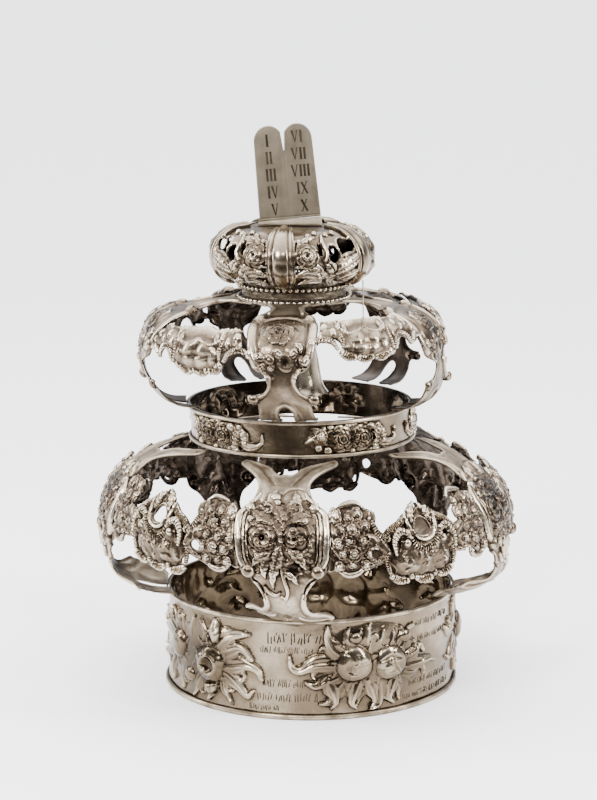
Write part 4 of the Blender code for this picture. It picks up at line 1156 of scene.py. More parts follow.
def workTwinFlowers(relief, rng, cx, flip, high):
    # two round flowers side by side over hooked leaves
    off = lambda v: cx + flip * v
    ringLeaves(relief, cx, baseLeaves, flip, rng)
    for x, z, hand in ((-28, 16.5, -1), (-14.5, 15.5, 1), (-1.5, 15.0, -1), (12, 16, 1)):
        addFlame(relief,
                 mirrored([(x + 2 * hand, z + 9), (x, z + 2), (x - 1.5 * hand, z - 5),
                           (x + 1.5 * hand, z - 9)], flip, cx), 6.0, 3.8, level=1.0, curl=0.8,
                 fold=hand * flip)
    for at, z, size in ((-12.9, 54.0, 4.0), (23.5, 51.0, 4.6)):
        addBall(relief, off(at), z, size, 0.66 * size, level=2.0)
        addStainAndShade(relief, off(at), z, size, 0.30)
    for x, z, size, petals, turn, hand in ((-13.8, 36.2, 13.6, 6, 40, 1), (11.8, 34.4, 13.0, 7, 75, -1)):
        ruff(relief, off(x), z, size, petals + 3, turn, flip, rng)
        addFolded(relief, off(x), z + 0.4, 0.9 * size, 1.05 * high, petals=3, turn=turn + 60, level=1.2,
                  swirl=0.3, deep=0.10, hand=-hand)
        addStainAndShade(relief, off(x), z + 0.4, 0.86 * size, -0.26)
    addSwell(relief, off(-17.5), 33.5, 4.0, 3.4, -0.9)
    addSwell(relief, off(-9.5), 40.5, 3.4, 3.0, 0.6)
    addGroove(relief, mirrored([(3.6, 37), (10, 39.5), (18, 37.5)], flip, cx), 1.6, 0.8)
    addGroove(relief, mirrored([(12, 39), (13, 33), (17, 28)], flip, cx), 1.4, 0.6)
    addSwell(relief, off(8.4), 31, 3.4, 4.2, 0.7)


def workEyeFlower(relief, rng, cx, flip, high):
    # one flower with a deep round eye in a ruff of petals, and a smaller one beside it
    off = lambda v: cx + flip * v
    ringLeaves(relief, cx, otherLeaves, flip, rng)
    addSwell(relief, off(22.5), 54, 4.6, 9.0, 4.4, turn=4 * flip, sharp=0.6)
    addSwell(relief, off(19.3), 15.5, 5.2, 5.0, 4.0, sharp=0.6)
    addSwell(relief, off(-2), 19, 5.4, 5.0, 2.6, sharp=0.6)
    ruff(relief, off(-15.7), 36.5, 11.5, 9, 20, flip, rng)
    addFolded(relief, off(-15.7), 37.5, 10.0, 0.98 * high, petals=2, turn=100, level=1.2, swirl=0.2,
              deep=0.10)
    addStainAndShade(relief, off(-15.7), 37.5, 9.0, -0.2)
    ruff(relief, off(18.0), 31.5, 14.0, 11, 50, flip, rng)
    addFolded(relief, off(18.0), 31.0, 12.9, 0.84 * high, petals=3, turn=80, level=1.1, swirl=0.5, deep=0.06)
    addStainAndShade(relief, off(18.0), 31.0, 11.4, -0.18)
    for turn in (20, 95, 160, 215, 290):
        a = math.radians(turn)
        addSwell(relief, off(18.0 + 8.8 * math.cos(a)), 31 + 8.8 * math.sin(a), 4.4, 4.0, 0.16 * high)
    addSwell(relief, off(18.2), 30.4, 8.2, 7.8, 0.26 * high, sharp=0.5)
    addSwell(relief, off(18.2), 30.4, 6.0, 5.7, -0.66 * high, sharp=0.7)
    # painted shade and tarnish inside the deep eye
    addStainAndShade(relief, off(18.2), 30.4, 4.0, 0.42)


def workBase(relief, around):
    rng = np.random.default_rng(7)
    x, s = relief["x"], relief["s"]
    relief["h"] += (0.16 * np.sin(2 * np.pi * x / around * 7 + 1.3) * np.sin(s * 0.11 + 0.6)
                    + 0.07 * np.sin(2 * np.pi * x / around * 23) * np.sin(s * 0.23))
    for k in range(5):
        cx = around * (k + 0.5) / 5 + baseBand["shift"][k]
        flip = -1 if k in (2, 3) else 1
        off = lambda v: cx + flip * v
        addSwell(relief, cx, 35, 42, 28, 2.6, sharp=0.9)
        for at, reach, dark in ((off(-14), 21, 0.12), (off(13), 21, 0.12),
                                (cx, 36, 0.16 + baseBand["worn"][k]), (off(32), 19, 0.12),
                                (off(-32), 19, 0.12)):
            addStainAndShade(relief, at, 35, reach, dark)
        if k == 0:
            # the flowers beside the front are the brightest
            relief["matt"] -= 0.09 * np.exp(-(np.hypot(x - cx, 1.4 * (s - 35)) / 40) ** 6)
        work = workTwinFlowers if k in (0, 2) else workEyeFlower
        work(relief, rng, cx, flip, baseBand["flowerHigh"])
    relief["h"] *= np.clip(np.minimum(s - 3.4, 64.4 - s) / 1.5, 0, 1) ** 0.5
    # darker all round, and more so along the top
    relief["stain"] += 0.089441 + 0.10 * np.exp(-((s - 62) / 5) ** 2) + 0.025792 * np.sin(s * 0.07)
    addWear(relief, rng, 0.02, 0.10, ring=True)


def workMiddle(relief, around):
    rng = np.random.default_rng(9)
    s = relief["s"]
    high = middleBand["flowerHigh"]
    for k in range(5):
        cx = around * (k + 0.5) / 5 + middleBand["shift"][k]
        flip = -1 if k in (1, 3) else 1
        off = lambda v: cx + flip * v
        addSwell(relief, cx, 12.2, 30, 11, 1.2, sharp=0.8)
        for x in (-18, -6, 6, 18):
            addStainAndShade(relief, off(x), 12, 11, 0.10)
        addScales(relief, rng, (cx - 24, cx + 24), (4, 20), 60, 1.5, 0.8)
        relief["stain"] += 0.08 * np.exp(-((relief["x"] - cx) / 24) ** 6)
        # a shell-like fan and a hooked arm at one end, leaves and berries between the flowers
        addFlame(relief, mirrored([(22, 8), (27, 6.0), (33, 6.4), (37.4, 9.4), (38.4, 15)], flip, cx), 3.3,
                 2.8, level=0.4, curl=0.9, fold=flip)
        addRidge(relief,
                 mirrored([(25.5, 8.5), (25.0, 13.5), (21.0, 15.4), (18.6, 11), (17.6, 5), (18.6, 2.8)],
                          flip, cx), 4.0, 2.6, 0.7, level=0.7, ribs=0.25, ribWide=3.0)
        addFlame(relief, mirrored([(-18, 10), (-25, 13), (-31, 10.5)], flip, cx), 3.4, 2.2, level=0.4,
                 curl=0.7, fold=flip)
        addFlame(relief, mirrored([(-17, 14), (-22, 19), (-27, 20)], flip, cx), 2.8, 2.0, level=0.4,
                 curl=0.6, fold=-flip)
        for x, z, size in ((-16.4, 4.6, 2.7), (-22.5, 6.4, 2.4), (-1, 21, 2.0), (0.5, 3.4, 2.2),
                           (13, 3.6, 2.2), (-13.5, 20.4, 2.2), (22, 18.6, 2.2)):
            addBall(relief, off(x), z, size, 1.6, level=0.8)
        addBall(relief, off(15.8), 18.0, 3.4, 2.8, level=0.9)
        addBloom(relief, off(-20.5), 14.2, 4.8, 2.8, ((4, 0.5, 0.52, 0.1), (3, 0.2, 0.4, 0.4)), turn=20,
                 level=0.8, rng=rng, heart=0.3)
        for x, z, size in ((-6.9, 12.2, 9.4), (8.2, 11.8, 9.2)):
            turn = rng.uniform(0, 60)
            addFolded(relief, off(x), z, size, 0.62 * high, petals=7, turn=turn, level=0.7, swirl=0.45,
                      deep=0.34)
            addFolded(relief, off(x), z, 0.74 * size, 0.90 * high, petals=5, turn=turn + 30, level=0.8,
                      swirl=0.6, deep=0.30, hand=-1)
            addCup(relief, off(x + 0.4), z, 0.42 * size, 0.34 * high, rim=0.42, level=0.72 * high)
            addBall(relief, off(x + 0.4), z, 0.17 * size, 0.3 * high, level=0.75 * high)
            addStainAndShade(relief, off(x + 0.4), z, 0.36 * size, 0.22)
    # painted shade on the plain front of the band between two clusters, lighter towards its foot
    relief["h"] *= np.clip(np.minimum(s - 2.4, 22.0 - s) / 1.0, 0, 1) ** 0.5
    for k in range(5):
        x = (relief["x"] - around * k / 5 + 0.5 * around) % around - 0.5 * around
        foot = np.clip(1.1 - 0.5 * np.exp(-((s - 3) / 3.5) ** 2), 0, 1)
        relief["stain"] += middleBand["bare"][k] * np.exp(-(x / 14) ** 6) * foot
    addWear(relief, rng, 0.02, 0.08, ring=True)


bandPiece("baseBand", baseBand, workBase, "base_band", bandSilver, ground=0.28, fine=0.18, broad=0.20,
          reach=4.2)
bandPiece("middleBand", middleBand, workMiddle, "middle_band", middleSilver, ground=0.34, fine=0.26,
          broad=0.34)
print("bands made")


# turned rims, neck and bell

def turnedPiece(name, section, material, segments, closed=True, centre=0.0, tone=0.2, shades=None,
                leans=False):
    # section: (radius, height) anticlockwise; an open one starts and ends on the axis
    angles = 2 * np.pi * np.arange(segments) / segments
    points, faces, rings, shade = [], [], [], []
    for i, (radius, z) in enumerate(section):
        middle = centre + (lean(z) if leans else 0)
        around = angles if radius > 0 else angles[:1]
        rings.append([len(points) + k % len(around) for k in range(segments)])
        points += [(middle + radius * math.sin(a), -radius * math.cos(a), z) for a in around]
        shade += [shades[i] if shades else tone] * len(around)
    for low, high in zip(rings, rings[1:] + rings[:1]) if closed else zip(rings, rings[1:]):
        for i in range(segments):
            j = (i + 1) % segments
            face = list(dict.fromkeys((low[i], low[j], high[j], high[i])))
            if len(face) > 2:
                faces.append(face)
    return meshPiece(name, points, faces, shade, material, sharp=50)


rims = {  # inner radius, bottom, how far out, height, segments, solid
    "baseFootRim": (99.0, 0.0, 1.9, 3.6, 180, "base_foot_rim"),
    "baseTopRim": (97.9, 64.6, 1.6, 3.0, 180, "base_top_rim"),
    "middleFootRim": (75.8, 170.4, 1.4, 2.6, 150, "middle_foot_rim"),
    "middleTopRim": (75.8, 192.2, 1.4, 2.6, 150, "middle_top_rim"),
}
# painted darker towards the creases where the rim meets the band and lightest on its outermost bulge: partly
# tarnish, partly painted shade
rimTarnishAndShade = (0.7, 0.45, 0.3, 0.2, 0.1, 0.05, 0.1, 0.2, 0.35, 0.55, 0.75)
for name, (radius, bottom, out, high, segments, node) in rims.items():
    turns = np.radians(np.linspace(-80, 80, 9))
    bulge = [(radius + out * (0.15 + 0.85 * math.cos(t) ** 0.8),
              bottom + 0.5 * high * (1 + math.sin(t) / math.sin(turns[-1]))) for t in turns]
    rim = turnedPiece(name, [(radius, bottom), *bulge, (radius, bottom + high)], wireSilver, segments,
                      shades=rimTarnishAndShade, leans=True)
    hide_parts(node)

neck = {
    "radius": 35.2, "bottom": 264.0, "top": 277.8, "grid": 0.45, "triangles": 16000,
    "settings": 12, "lines": (4.9, 8.9),
    "setting": ((-7.2, 6.9), (-4.6, 9.0), (4.6, 9.0), (7.2, 6.9), (4.6, 4.8), (-4.6, 4.8), (-7.2, 6.9)),
    "beads": 58, "bead": 1.65, "beadsOut": 1.83, "lowBeads": 266.6, "highBeads": 275.2,
}
neckProfile = profileOf(((neck["radius"], neck["bottom"]), (neck["radius"], neck["top"])))


def neckRelief(relief, around):
    relief["h"] -= 0.5
    for line in neck["lines"]:
        relief["h"] += 0.35 * np.exp(-((relief["s"] - line) / 0.35) ** 2)
    for k in range(neck["settings"]):
        x = around * (k + 0.5) / neck["settings"]
        addRidge(relief, [(x + dx, s) for dx, s in neck["setting"]], 0.6, 0.28, 1.0)
        addSwell(relief, x, 6.9, 4.6, 1.6, 0.3)


relief, around = ringGrid(neckProfile, neck["radius"], neck["grid"])
neckRelief(relief, around)
place = lambda x, s, out: wrapped(neckProfile, np.degrees(x / neck["radius"]), s, out)
made = reliefPiece("neckCollar", relief, place, neck["triangles"], neckSilver, ring=True)
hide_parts("neck_collar")


def beadRing(name, z, halfStep, node):
    # a ring of beads with painted shade, darker on the side that faces the collar and a little darker below
    # than on top; halfStep sets the rows off from each other
    sides, rows, size = 12, 7, neck["bead"]
    middle = neck["radius"] + neck["beadsOut"]
    points, faces, shade = [], [], []
    for k in range(neck["beads"]):
        a = 2 * math.pi * (k + halfStep) / neck["beads"]
        first = len(points)
        cx, cy = lean(z) + middle * math.sin(a), -middle * math.cos(a)
        for t in (math.pi * j / rows for j in range(1, rows)):
            for b in (2 * math.pi * i / sides for i in range(sides)):
                points.append((cx + size * math.sin(t) * math.cos(b), cy + size * math.sin(t) * math.sin(b),
                               z - size * math.cos(t)))
                shade.append(0.7 * (0.5 + 0.5 * math.cos(b - a - math.pi / 2)))
        low, high = len(points), len(points) + 1
        points += [(cx, cy, z - size), (cx, cy, z + size)]
        shade += [0.5, 0.3]
        for i in range(sides):
            j = (i + 1) % sides
            top = first + (rows - 2) * sides
            faces += [(low, first + j, first + i), (high, top + i, top + j)]
            faces += [(r + i, r + j, r + j + sides, r + i + sides) for r in range(first, top, sides)]
    made = meshPiece(name, points, faces, shade, chasedSilver, sharp=180)
    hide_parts(node)


beadRing("neckBeadsLower", neck["lowBeads"], 0.0, "neck_beads_lower")
beadRing("neckBeadsUpper", neck["highBeads"], 0.5, "neck_beads_upper")


# cushion-shaped crown: five fluted straps with pierced flower work between

cushion = {
    "profile": ((36.5, 278.2), (45, 280), (51, 286), (53, 294), (51.5, 302), (45.5, 309), (38, 313),
                (28, 314.5)),
    "radius": 53.0, "first": 28.0, "grid": 0.5, "triangles": 70000, "reliefHigh": 4.6,
    "cap": ((0, 312.6), (27.2, 312.6), (27.4, 313.0), (27.2, 313.8), (26.0, 314.0), (0, 314.0)),
}
cushionProfile = profileOf(cushion["profile"])
cushionLeaves = (  # path, half width, height
    ([(-8, 287), (-16, 289), (-25, 287)], 4.2, 2.6),
    ([(-6, 291), (-14, 294), (-24, 293)], 3.6, 2.4),
    ([(-6, 284), (-14, 284.5), (-22, 282)], 3.2, 2.2),
    ([(3, 289), (12, 292), (22, 296), (30, 299)], 5.2, 3.0),
    ([(8, 285), (16, 286), (25, 289)], 4.0, 2.6),
    ([(-2, 284), (3, 282), (9, 282)], 3.2, 2.2),
    ([(-22, 304), (-14, 309), (-6, 310)], 2.8, 2.0),
    ([(-24, 297), (-26, 303), (-22, 309)], 2.8, 2.0),
)
cushionHoles = (  # outline, height of its rim
    ([(0.6, 296), (5.6, 295.5), (7.2, 300), (5, 305), (1, 304)], 0.6),
    ([(9, 300), (15, 301), (22, 301.5), (23, 306), (17, 309), (10, 307)], 0.7),
    ([(-7, 301), (-4.8, 300), (-4.6, 305), (-6.6, 307)], 0.0),
    ([(-24.5, 288.5), (-21, 290), (-22.5, 292.4)], 0.0),
)


def workCushionPanel(relief, rng, cx, flip):
    # flower work between two straps, placed by height on the crown
    on = lambda spots: [(cx + flip * x, float(alongAt(cushionProfile, z))) for x, z in spots]
    spot = lambda x, z: on([(x, z)])[0]
    addSwell(relief, *spot(0, 297), 26, 20, 1.0, sharp=0.6)
    for _ in range(9):
        x, z, turn = rng.uniform(-22, 24), rng.uniform(283, 311), rng.uniform(0, 6.28)
        root, s = spot(x, z)
        path = [(root, s), (spot(x + 3.5 * math.cos(turn), z)[0], s + 3.5 * math.sin(turn)),
                (spot(x + 8 * math.cos(turn + 0.4), z)[0], s + 8 * math.sin(turn + 0.4))]
        addLeaf(relief, path, 2.8, 1.5, lobes=3, level=0.7)
    for path, wide, high in cushionLeaves:
        addLeaf(relief, on(path), wide, high, lobes=4, level=0.8)
    addRidge(relief, on([(-4, 296), (-2, 301), (-3, 307), (-1, 311)]), 1.5, 1.8, 0.6, level=1.2)
    addRidge(relief, on([(24, 291), (25, 300), (22, 308)]), 1.6, 1.6, 0.5, level=0.8)
    addBall(relief, *spot(0.5, 292), 4.3, 2.6, level=0.9)
    addGroove(relief, on([(-1.5, 295), (1, 292), (2.6, 289)]), 0.8, 1.0)
    for ball in on(((-20, 308), (-12, 311), (-5, 312.4), (4, 311.4), (12, 312))):
        addBall(relief, *ball, 2.2, 1.6, level=0.8, swirl=0.3)
    addStainAndShade(relief, *spot(-15.5, 300), 9.5, 0.16)
    addBloom(relief, *spot(-15.5, 300), 7.8, 3.4,
             ((6, 0.64, 0.42, 0.02), (5, 0.38, 0.36, 0.24), (3, 0.16, 0.28, 0.42)),
             turn=rng.uniform(0, 70), rng=rng, level=1.0, heart=-0.16)
    addSwell(relief, *spot(-6, 287.5), 4.2, 3.4, 1.8, sharp=0.6)
    for outline, rim in cushionHoles:
        cutHole(relief, on(outline), rim=rim)


def layStrap(relief, around, cx):
    # a fluted strap that opens into a ribbed fan at its foot
    s = relief["s"]
    dx = (relief["x"] - cx + 0.5 * around) % around - 0.5 * around
    half = np.interp(s, [0, 7, 16, cushionProfile["length"]], [2.2, 6.8, 9.6, 9.8])
    q = np.clip(np.abs(dx) / np.maximum(half, 0.1), 0, 1.01)
    fan = np.clip(1 - s / 15, 0, 1)
    strap = (1.5 + 1.7 * np.sqrt(np.clip(1 - (q / 0.52) ** 2, 0, 1)) + 0.8 * np.exp(-((q - 0.72) / 0.10) ** 2)
             + 0.5 * np.exp(-((q - 0.95) / 0.06) ** 2))
    strap = (1 - fan) * strap + fan * (1.4 + 1.2 * (1 - q * q) + 0.45 * np.cos(2 * np.pi * 2.5 * q))
    relief["h"] = np.where(q < 1, strap, relief["h"])
    relief["edge"] = np.where(q < 1, wellInside, relief["edge"])


relief, around = ringGrid(cushionProfile, cushion["radius"], cushion["grid"])
rng = np.random.default_rng(21)
for k in range(5):
    workCushionPanel(relief, rng, around * (k + 0.5) / 5, -1 if k in (3, 4) else 1)
for k in range(5):
    layStrap(relief, around, around * k / 5)
relief["h"] = np.minimum(relief["h"], cushion["reliefHigh"]) * np.clip(relief["s"] / 4.0, 0.2, 1)
turned = lambda x: cushion["first"] - 36 + np.degrees(x / cushion["radius"])
place = lambda x, s, out: wrapped(cushionProfile, turned(x), s, out)
made = reliefPiece("cushionCrown", relief, place, cushion["triangles"], cushionSilver, ring=True)
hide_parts("cushion_crown")
made = turnedPiece("cushionCap", cushion["cap"], neckSilver, 80, closed=False, centre=float(lean(312.6)),
                   tone=0.5)
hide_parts("cushion_cap")
print("neck and cushion made")


# tablets with plain numerals

tablets = {
    "width": 41.4, "height": 63.3, "thick": 1.6, "taper": 2.9, "notch": 20.0, "turn": -3.0, "lean": 5.2,
    "base": 314.3, "gap": 0.3, "footWide": 43.0, "footDeep": 13.0, "footHigh": 4.0,
    "rows": (53.4, 41.8, 30.4, 18.8, 7.0), "grid": 0.4, "triangles": 14000,
}
tabletSpot = lambda z: Vector((float(lean(tablets["base"])), 0, z))
tabletTilt = Euler((0, math.radians(-tablets["lean"]), math.radians(tablets["turn"]))).to_matrix().to_4x4()
tabletFoot = tablets["base"] + tablets["footHigh"] + tablets["gap"]
tabletFrame = Matrix.Translation(tabletSpot(tabletFoot)) @ tabletTilt


def onTablets(x, z, out):
    turn, shift = np.array(tabletFrame.to_3x3()), np.array(tabletFrame.translation)
    return np.stack([x, -0.5 * tablets["thick"] - out, z], axis=-1) @ turn.T + shift


def tabletOutline():
    # two round tops beside a notch, a little narrower towards the top
    half, tall = 0.5 * tablets["width"], tablets["height"]
    lobe = 0.5 * half
    arc = [(half - lobe + lobe * math.cos(math.radians(t)), tall - lobe + lobe * math.sin(math.radians(t)))
           for t in range(0, 151, 6)]
    outline = mirroredHalf([(half, 0.0), *arc, (0.0, tall - tablets["notch"])])
    return np.array([(x * (1 - tablets["taper"] / tablets["width"] * z / tall), z) for x, z in outline])


def tabletsRelief():
    reach, tall = 0.5 * tablets["width"] + 1, tablets["height"]
    relief = newRelief((-reach, reach), (-0.4, tall + 0.8), tablets["grid"])
    relief["edge"] = loopField(relief, tabletOutline())
    relief["h"] -= 0.12 * np.exp(-((relief["edge"] - 1.6) / 0.3) ** 2) + 0.15  # a line along the border
    x, z = relief["x"], relief["s"]
    relief["h"] += 0.05 * np.sin(0.21 * x + 0.3) * np.sin(0.13 * z)
    # the line between the two, and one along the foot
    relief["h"] -= (0.16 * np.exp(-(x / 0.35) ** 2) * (z < tall - tablets["notch"])
                    + 0.12 * np.exp(-((z - 1.3) / 0.3) ** 2))
    return relief


made = reliefPiece("lawTablets", tabletsRelief(), onTablets, tablets["triangles"], tabletSilver, backDark=0.3,
                   rimDrop=0.25, thick=tablets["thick"] - 0.3)
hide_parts("law_tablets")


def strokeMesh(name, strokes, place, material, high, deep=0.12):
    # flat strokes: (x0, y0, x1, y1, half width at the start, half width at the end)
    points, faces = [], []
    for x0, y0, x1, y1, w0, w1 in strokes:
        long = max(math.hypot(x1 - x0, y1 - y0), 1e-6)
        nx, ny = -(y1 - y0) / long, (x1 - x0) / long
        flat = [(x0 - nx * w0, y0 - ny * w0), (x1 - nx * w1, y1 - ny * w1),
                (x1 + nx * w1, y1 + ny * w1), (x0 + nx * w0, y0 + ny * w0)]
        n = len(points)
        points += [(*p, high) for p in flat] + [(*p, -deep) for p in flat]
        faces += [(n, n + 1, n + 2, n + 3), (n + 7, n + 6, n + 5, n + 4)]
        faces += [(n + (i + 1) % 4, n + i, n + 4 + i, n + 4 + (i + 1) % 4) for i in range(4)]
    return meshPiece(name, place(*np.array(points).T), faces, [0.9] * len(points), material)


numeral = {"wide": {"I": 2.0, "V": 5.0, "X": 5.0}, "gap": 0.55, "thick": 0.72, "thin": 0.30, "serif": 0.16,
           "serifLong": 1.6, "inset": 0.8}


def numeralStrokes(text, x, y, high):
    # thick and thin strokes with short serifs
    gap, thick, thin, inset = numeral["gap"], numeral["thick"], numeral["thin"], numeral["inset"]
    start = x - 0.5 * (sum(numeral["wide"][c] for c in text) + gap * (len(text) - 1))
    low, top = y - 0.5 * high, y + 0.5 * high
    serif = lambda left, right, z: (left, z, right, z, numeral["serif"], numeral["serif"])
    strokes = []
    for c in text:
        end = start + numeral["wide"][c]
        middle = start + 0.5 * numeral["wide"][c]
        both = ((start, start + numeral["serifLong"]), (end - numeral["serifLong"], end))
        if c == "I":
            strokes += [(middle, low, middle, top, thick, thick), serif(start, end, low),
                        serif(start, end, top)]
        if c == "V":
            strokes += [(start + inset, top, middle, low, thick, 0.3),
                        (end - inset, top, middle, low, thin, thin)]
        if c == "X":
            strokes += [(start + inset, top, end - inset, low, thick, thick),
                        (end - inset, top, start + inset, low, thin, thin)]
            strokes += [serif(*ends, low) for ends in both]
        if c in "VX":
            strokes += [serif(*ends, top) for ends in both]
        start = end + gap
    return strokes


numerals = []
for k, z in enumerate(tablets["rows"]):
    numerals += numeralStrokes(("I", "II", "III", "IV", "V")[k], -10.6 + 0.3 * k, z, 7.9)
    numerals += numeralStrokes(("VI", "VII", "VIII", "IX", "X")[k], 9.4 + 0.25 * k, z + 1.3, 7.7)
strokeMesh("tabletNumerals", numerals, lambda x, y, out: onTablets(x, y, out - 0.13), engravedDark, high=0.06)


def tabletsFoot():
    # coved moulding under the tablets, spread towards the front, with a slightly arched underside
    wide, deep, high = tablets["footWide"], tablets["footDeep"], tablets["footHigh"]
    slope, across = math.tan(math.radians(tablets["lean"])), 41
    cove = [(-(0.5 * deep - (0.5 * deep - 1.9) * t ** 0.55), 0.6 + (high - 0.6) * t ** 1.7)
            for t in np.linspace(0, 1, 9)]
    back = [(-y, z) for y, z in reversed(cove)]
    section = [(-0.5 * deep, 0.0), *cove, (-1.5, high), (1.5, high), *back, (0.5 * deep, 0.0)]
    turn, base = Euler((0, 0, math.radians(tablets["turn"]))).to_matrix(), tabletSpot(tablets["base"])
    points, shade = [], []
    for u in (2 * i / (across - 1) - 1 for i in range(across)):
        for y, z in section:
            arch = 0.55 * (1 - u * u) * (1 if z < 0.7 and y < 0 else 0.0) + 0.10 * math.sin(9 * u) * (y < -3)
            x = (0.5 * wide - 0.7 * z / high) * u
            tilted = min(z + arch, high) + (slope * x if z > 0.6 * high else 0.0) * 0.9
            points.append(turn @ Vector((x, y * (1 - 0.06 * abs(u) ** 3), tilted)) + base)
            # painted shadow: the lowest strip of the moulding, where it sits on the cap, is painted darker
            shade.append(0.42 + 0.4 * (tilted < 0.9))
    n = len(section)
    faces = [(i * n + j, (i + 1) * n + j, (i + 1) * n + (j + 1) % n, i * n + (j + 1) % n)
             for i in range(across - 1) for j in range(n)]
    faces += [tuple(range(n)), tuple(range((across - 1) * n, across * n))[::-1]]
    made = meshPiece("tabletsFoot", points, faces, shade, tabletSilver, sharp=35)
    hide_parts("tablets_foot")


tabletsFoot()
print("tablets made")


# bell, wires and the marks on the base band

bell = {
    "outside": ((20.5, 200.6), (19.4, 201.8), (17.6, 204.6), (16.5, 207.8), (15.6, 212.0), (14.6, 218.0),
                (13.6, 224.0), (12.3, 230.6), (11.0, 236.0), (8.4, 240.6), (6.4, 242.6), (4.0, 243.9)),
    "wall": 1.0, "crown": 244.3, "x": -5.4,
    "ball": 4.2, "ballHeight": 207, "rod": 0.6, "rodFoot": 212.5, "rodTop": 242.7,
    "wire": 0.75, "wireFoot": 244.7, "wireTop": 312.3,
}
rodSection = lambda radius, low, high: [(0, low), (radius, low), (radius, high), (0, high)]
inside = [(radius - bell["wall"], z) for radius, z in bell["outside"]]
inside[-1] = (inside[-1][0], inside[-1][1] - bell["wall"])
wall = [(0, inside[-1][1]), *reversed(inside), *bell["outside"], (0, bell["crown"])]
made = turnedPiece("hangingBell", wall, bellSilver, 72, closed=False, centre=bell["x"], tone=0.06)
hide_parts("bell")
turns = np.linspace(0, 0.95 * math.pi, 12)
ball = [(bell["ball"] * math.sin(t), bell["ballHeight"] - bell["ball"] * math.cos(t)) for t in turns]
rod = rodSection(bell["rod"], bell["rodFoot"], bell["rodTop"])
made = turnedPiece("bellClapper", [*ball, *rod[1:]], bellSilver, 24, closed=False, centre=bell["x"], tone=0.5)
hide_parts("bell_clapper")
wire = rodSection(bell["wire"], bell["wireFoot"], bell["wireTop"])
made = turnedPiece("bellWire", wire, wireSilver, 16, closed=False, centre=bell["x"], tone=0.4)
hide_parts("bell_wire")


def tubePiece(name, path, radius, material, sides, tone):
    # round wire along a path, closed at both ends
    path = np.array(path, float)
    tangents = np.gradient(path, axis=0)
    tangents /= np.linalg.norm(tangents, axis=1)[:, None]
    points, turns = [], 2 * np.pi * np.arange(sides) / sides
    for p, t in zip(path, tangents):
        a = np.cross(t, (0.3, 1.0, 0.1))
        a /= np.linalg.norm(a)
        b = np.cross(t, a)
        points += [p + radius * (math.cos(v) * a + math.sin(v) * b) for v in turns]
    faces = [(i + j, i + (j + 1) % sides, i + sides + (j + 1) % sides, i + sides + j)
             for i in range(0, len(points) - sides, sides) for j in range(sides)]
    faces += [tuple(range(sides))[::-1], tuple(range(len(points) - sides, len(points)))]
    return meshPiece(name, points, faces, [tone] * len(points), material, sharp=180)


pendant = {"low": (44.5, -94.0, 260.8), "high": (46.3, -26.5, 280.3), "wire": 0.42,
           "coilWire": 0.38, "turns": 4.5, "coilShare": 0.085}
low, high = (np.array((x + float(lean(z)), y, z)) for x, y, z in (pendant["low"], pendant["high"]))
made = tubePiece("pendantWire", [low + (high - low) * t for t in np.linspace(0, 1, 24)], pendant["wire"],
                 wireSilver, sides=8, tone=0.05)
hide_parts("pendant_wire")
coil = []
for t in np.linspace(0, 1, 90):
    a = 2 * math.pi * pendant["turns"] * t
    along = low + (high - low) * (pendant["coilShare"] * t) + np.array((0, 0, -1.2 + 0.9 * t))
    coil.append(along + np.array((1.25 * math.cos(a), 0.4 * math.sin(a), 1.0 * math.sin(a) + 2.4 * t)))
tubePiece("wireCoil", coil, pendant["coilWire"], wireSilver, sides=7, tone=0.1)


def markRows(rows, seed):
    # rows of upright and slanting cuts, without any letters
    rng = np.random.default_rng(seed)
    strokes = []
    for start, end, z, high, heavy in rows:
        x, stop = (math.radians(angle - baseBand["first"] + 36) * baseBand["radius"]
                   for angle in (start, end))
        low, wide = z - 0.5 * high, heavy * (0.05 * high + 0.14)
        count = 0
        while x < stop:
            tall = high * rng.choice((0.6, 0.72, 0.8, 1.0))
            tilt = rng.choice((0.0, 0.08, -0.08, 0.16)) * high
            strokes.append((x, low + 0.1 * high * rng.integers(0, 3), x + tilt, low + tall, wide, 0.7 * wide))
            if rng.uniform() < 0.35:
                strokes.append((x + 0.14 * high, low + 0.75 * high, x + 0.24 * high, low + 0.98 * high,
                                0.8 * wide, 0.5 * wide))
            count += 1
            x += high * (0.62 if count % 6 == 0 else rng.uniform(0.23, 0.31))
    return strokes


markedRows = (  # from angle, to angle, height, size, weight
    (-17.0, 3.5, 54.2, 8.0, 0.9), (-20.0, 1.0, 46.2, 4.8, 0.9), (-19.0, 1.0, 23.8, 5.4, 0.9),
    (-21.0, 2.0, 14.6, 6.2, 0.9), (-24.5, -12.5, 6.8, 4.2, 0.9), (45.0, 68.0, 56.2, 4.6, 0.5),
    (46.0, 69.0, 46.0, 4.2, 0.5), (41.0, 67.0, 17.0, 4.4, 0.5), (38.0, 69.0, 8.6, 4.4, 0.5),
)


def onBand(x, s, out):
    # the marks lie on the band's own surface, but never climb over its leaves
    worked, profile, radius = baseBand["worked"]["h"], baseBand["bent"], baseBand["radius"]
    rows, columns = worked.shape
    row = np.clip(np.round(s / profile["length"] * (rows - 1)).astype(int), 0, rows - 1)
    column = np.round(x / (2 * math.pi * radius) * columns).astype(int) % columns
    angle = baseBand["first"] - 36 + np.degrees(x / radius)
    return wrapped(profile, angle, s, out + np.minimum(worked[row, column], 1.3))


strokeMesh("bandMarks", markRows(markedRows, 3), onBand, engravedDark, high=0.16, deep=0.3)
print("bell, wires and marks made")


# floor, light and camera, in metres

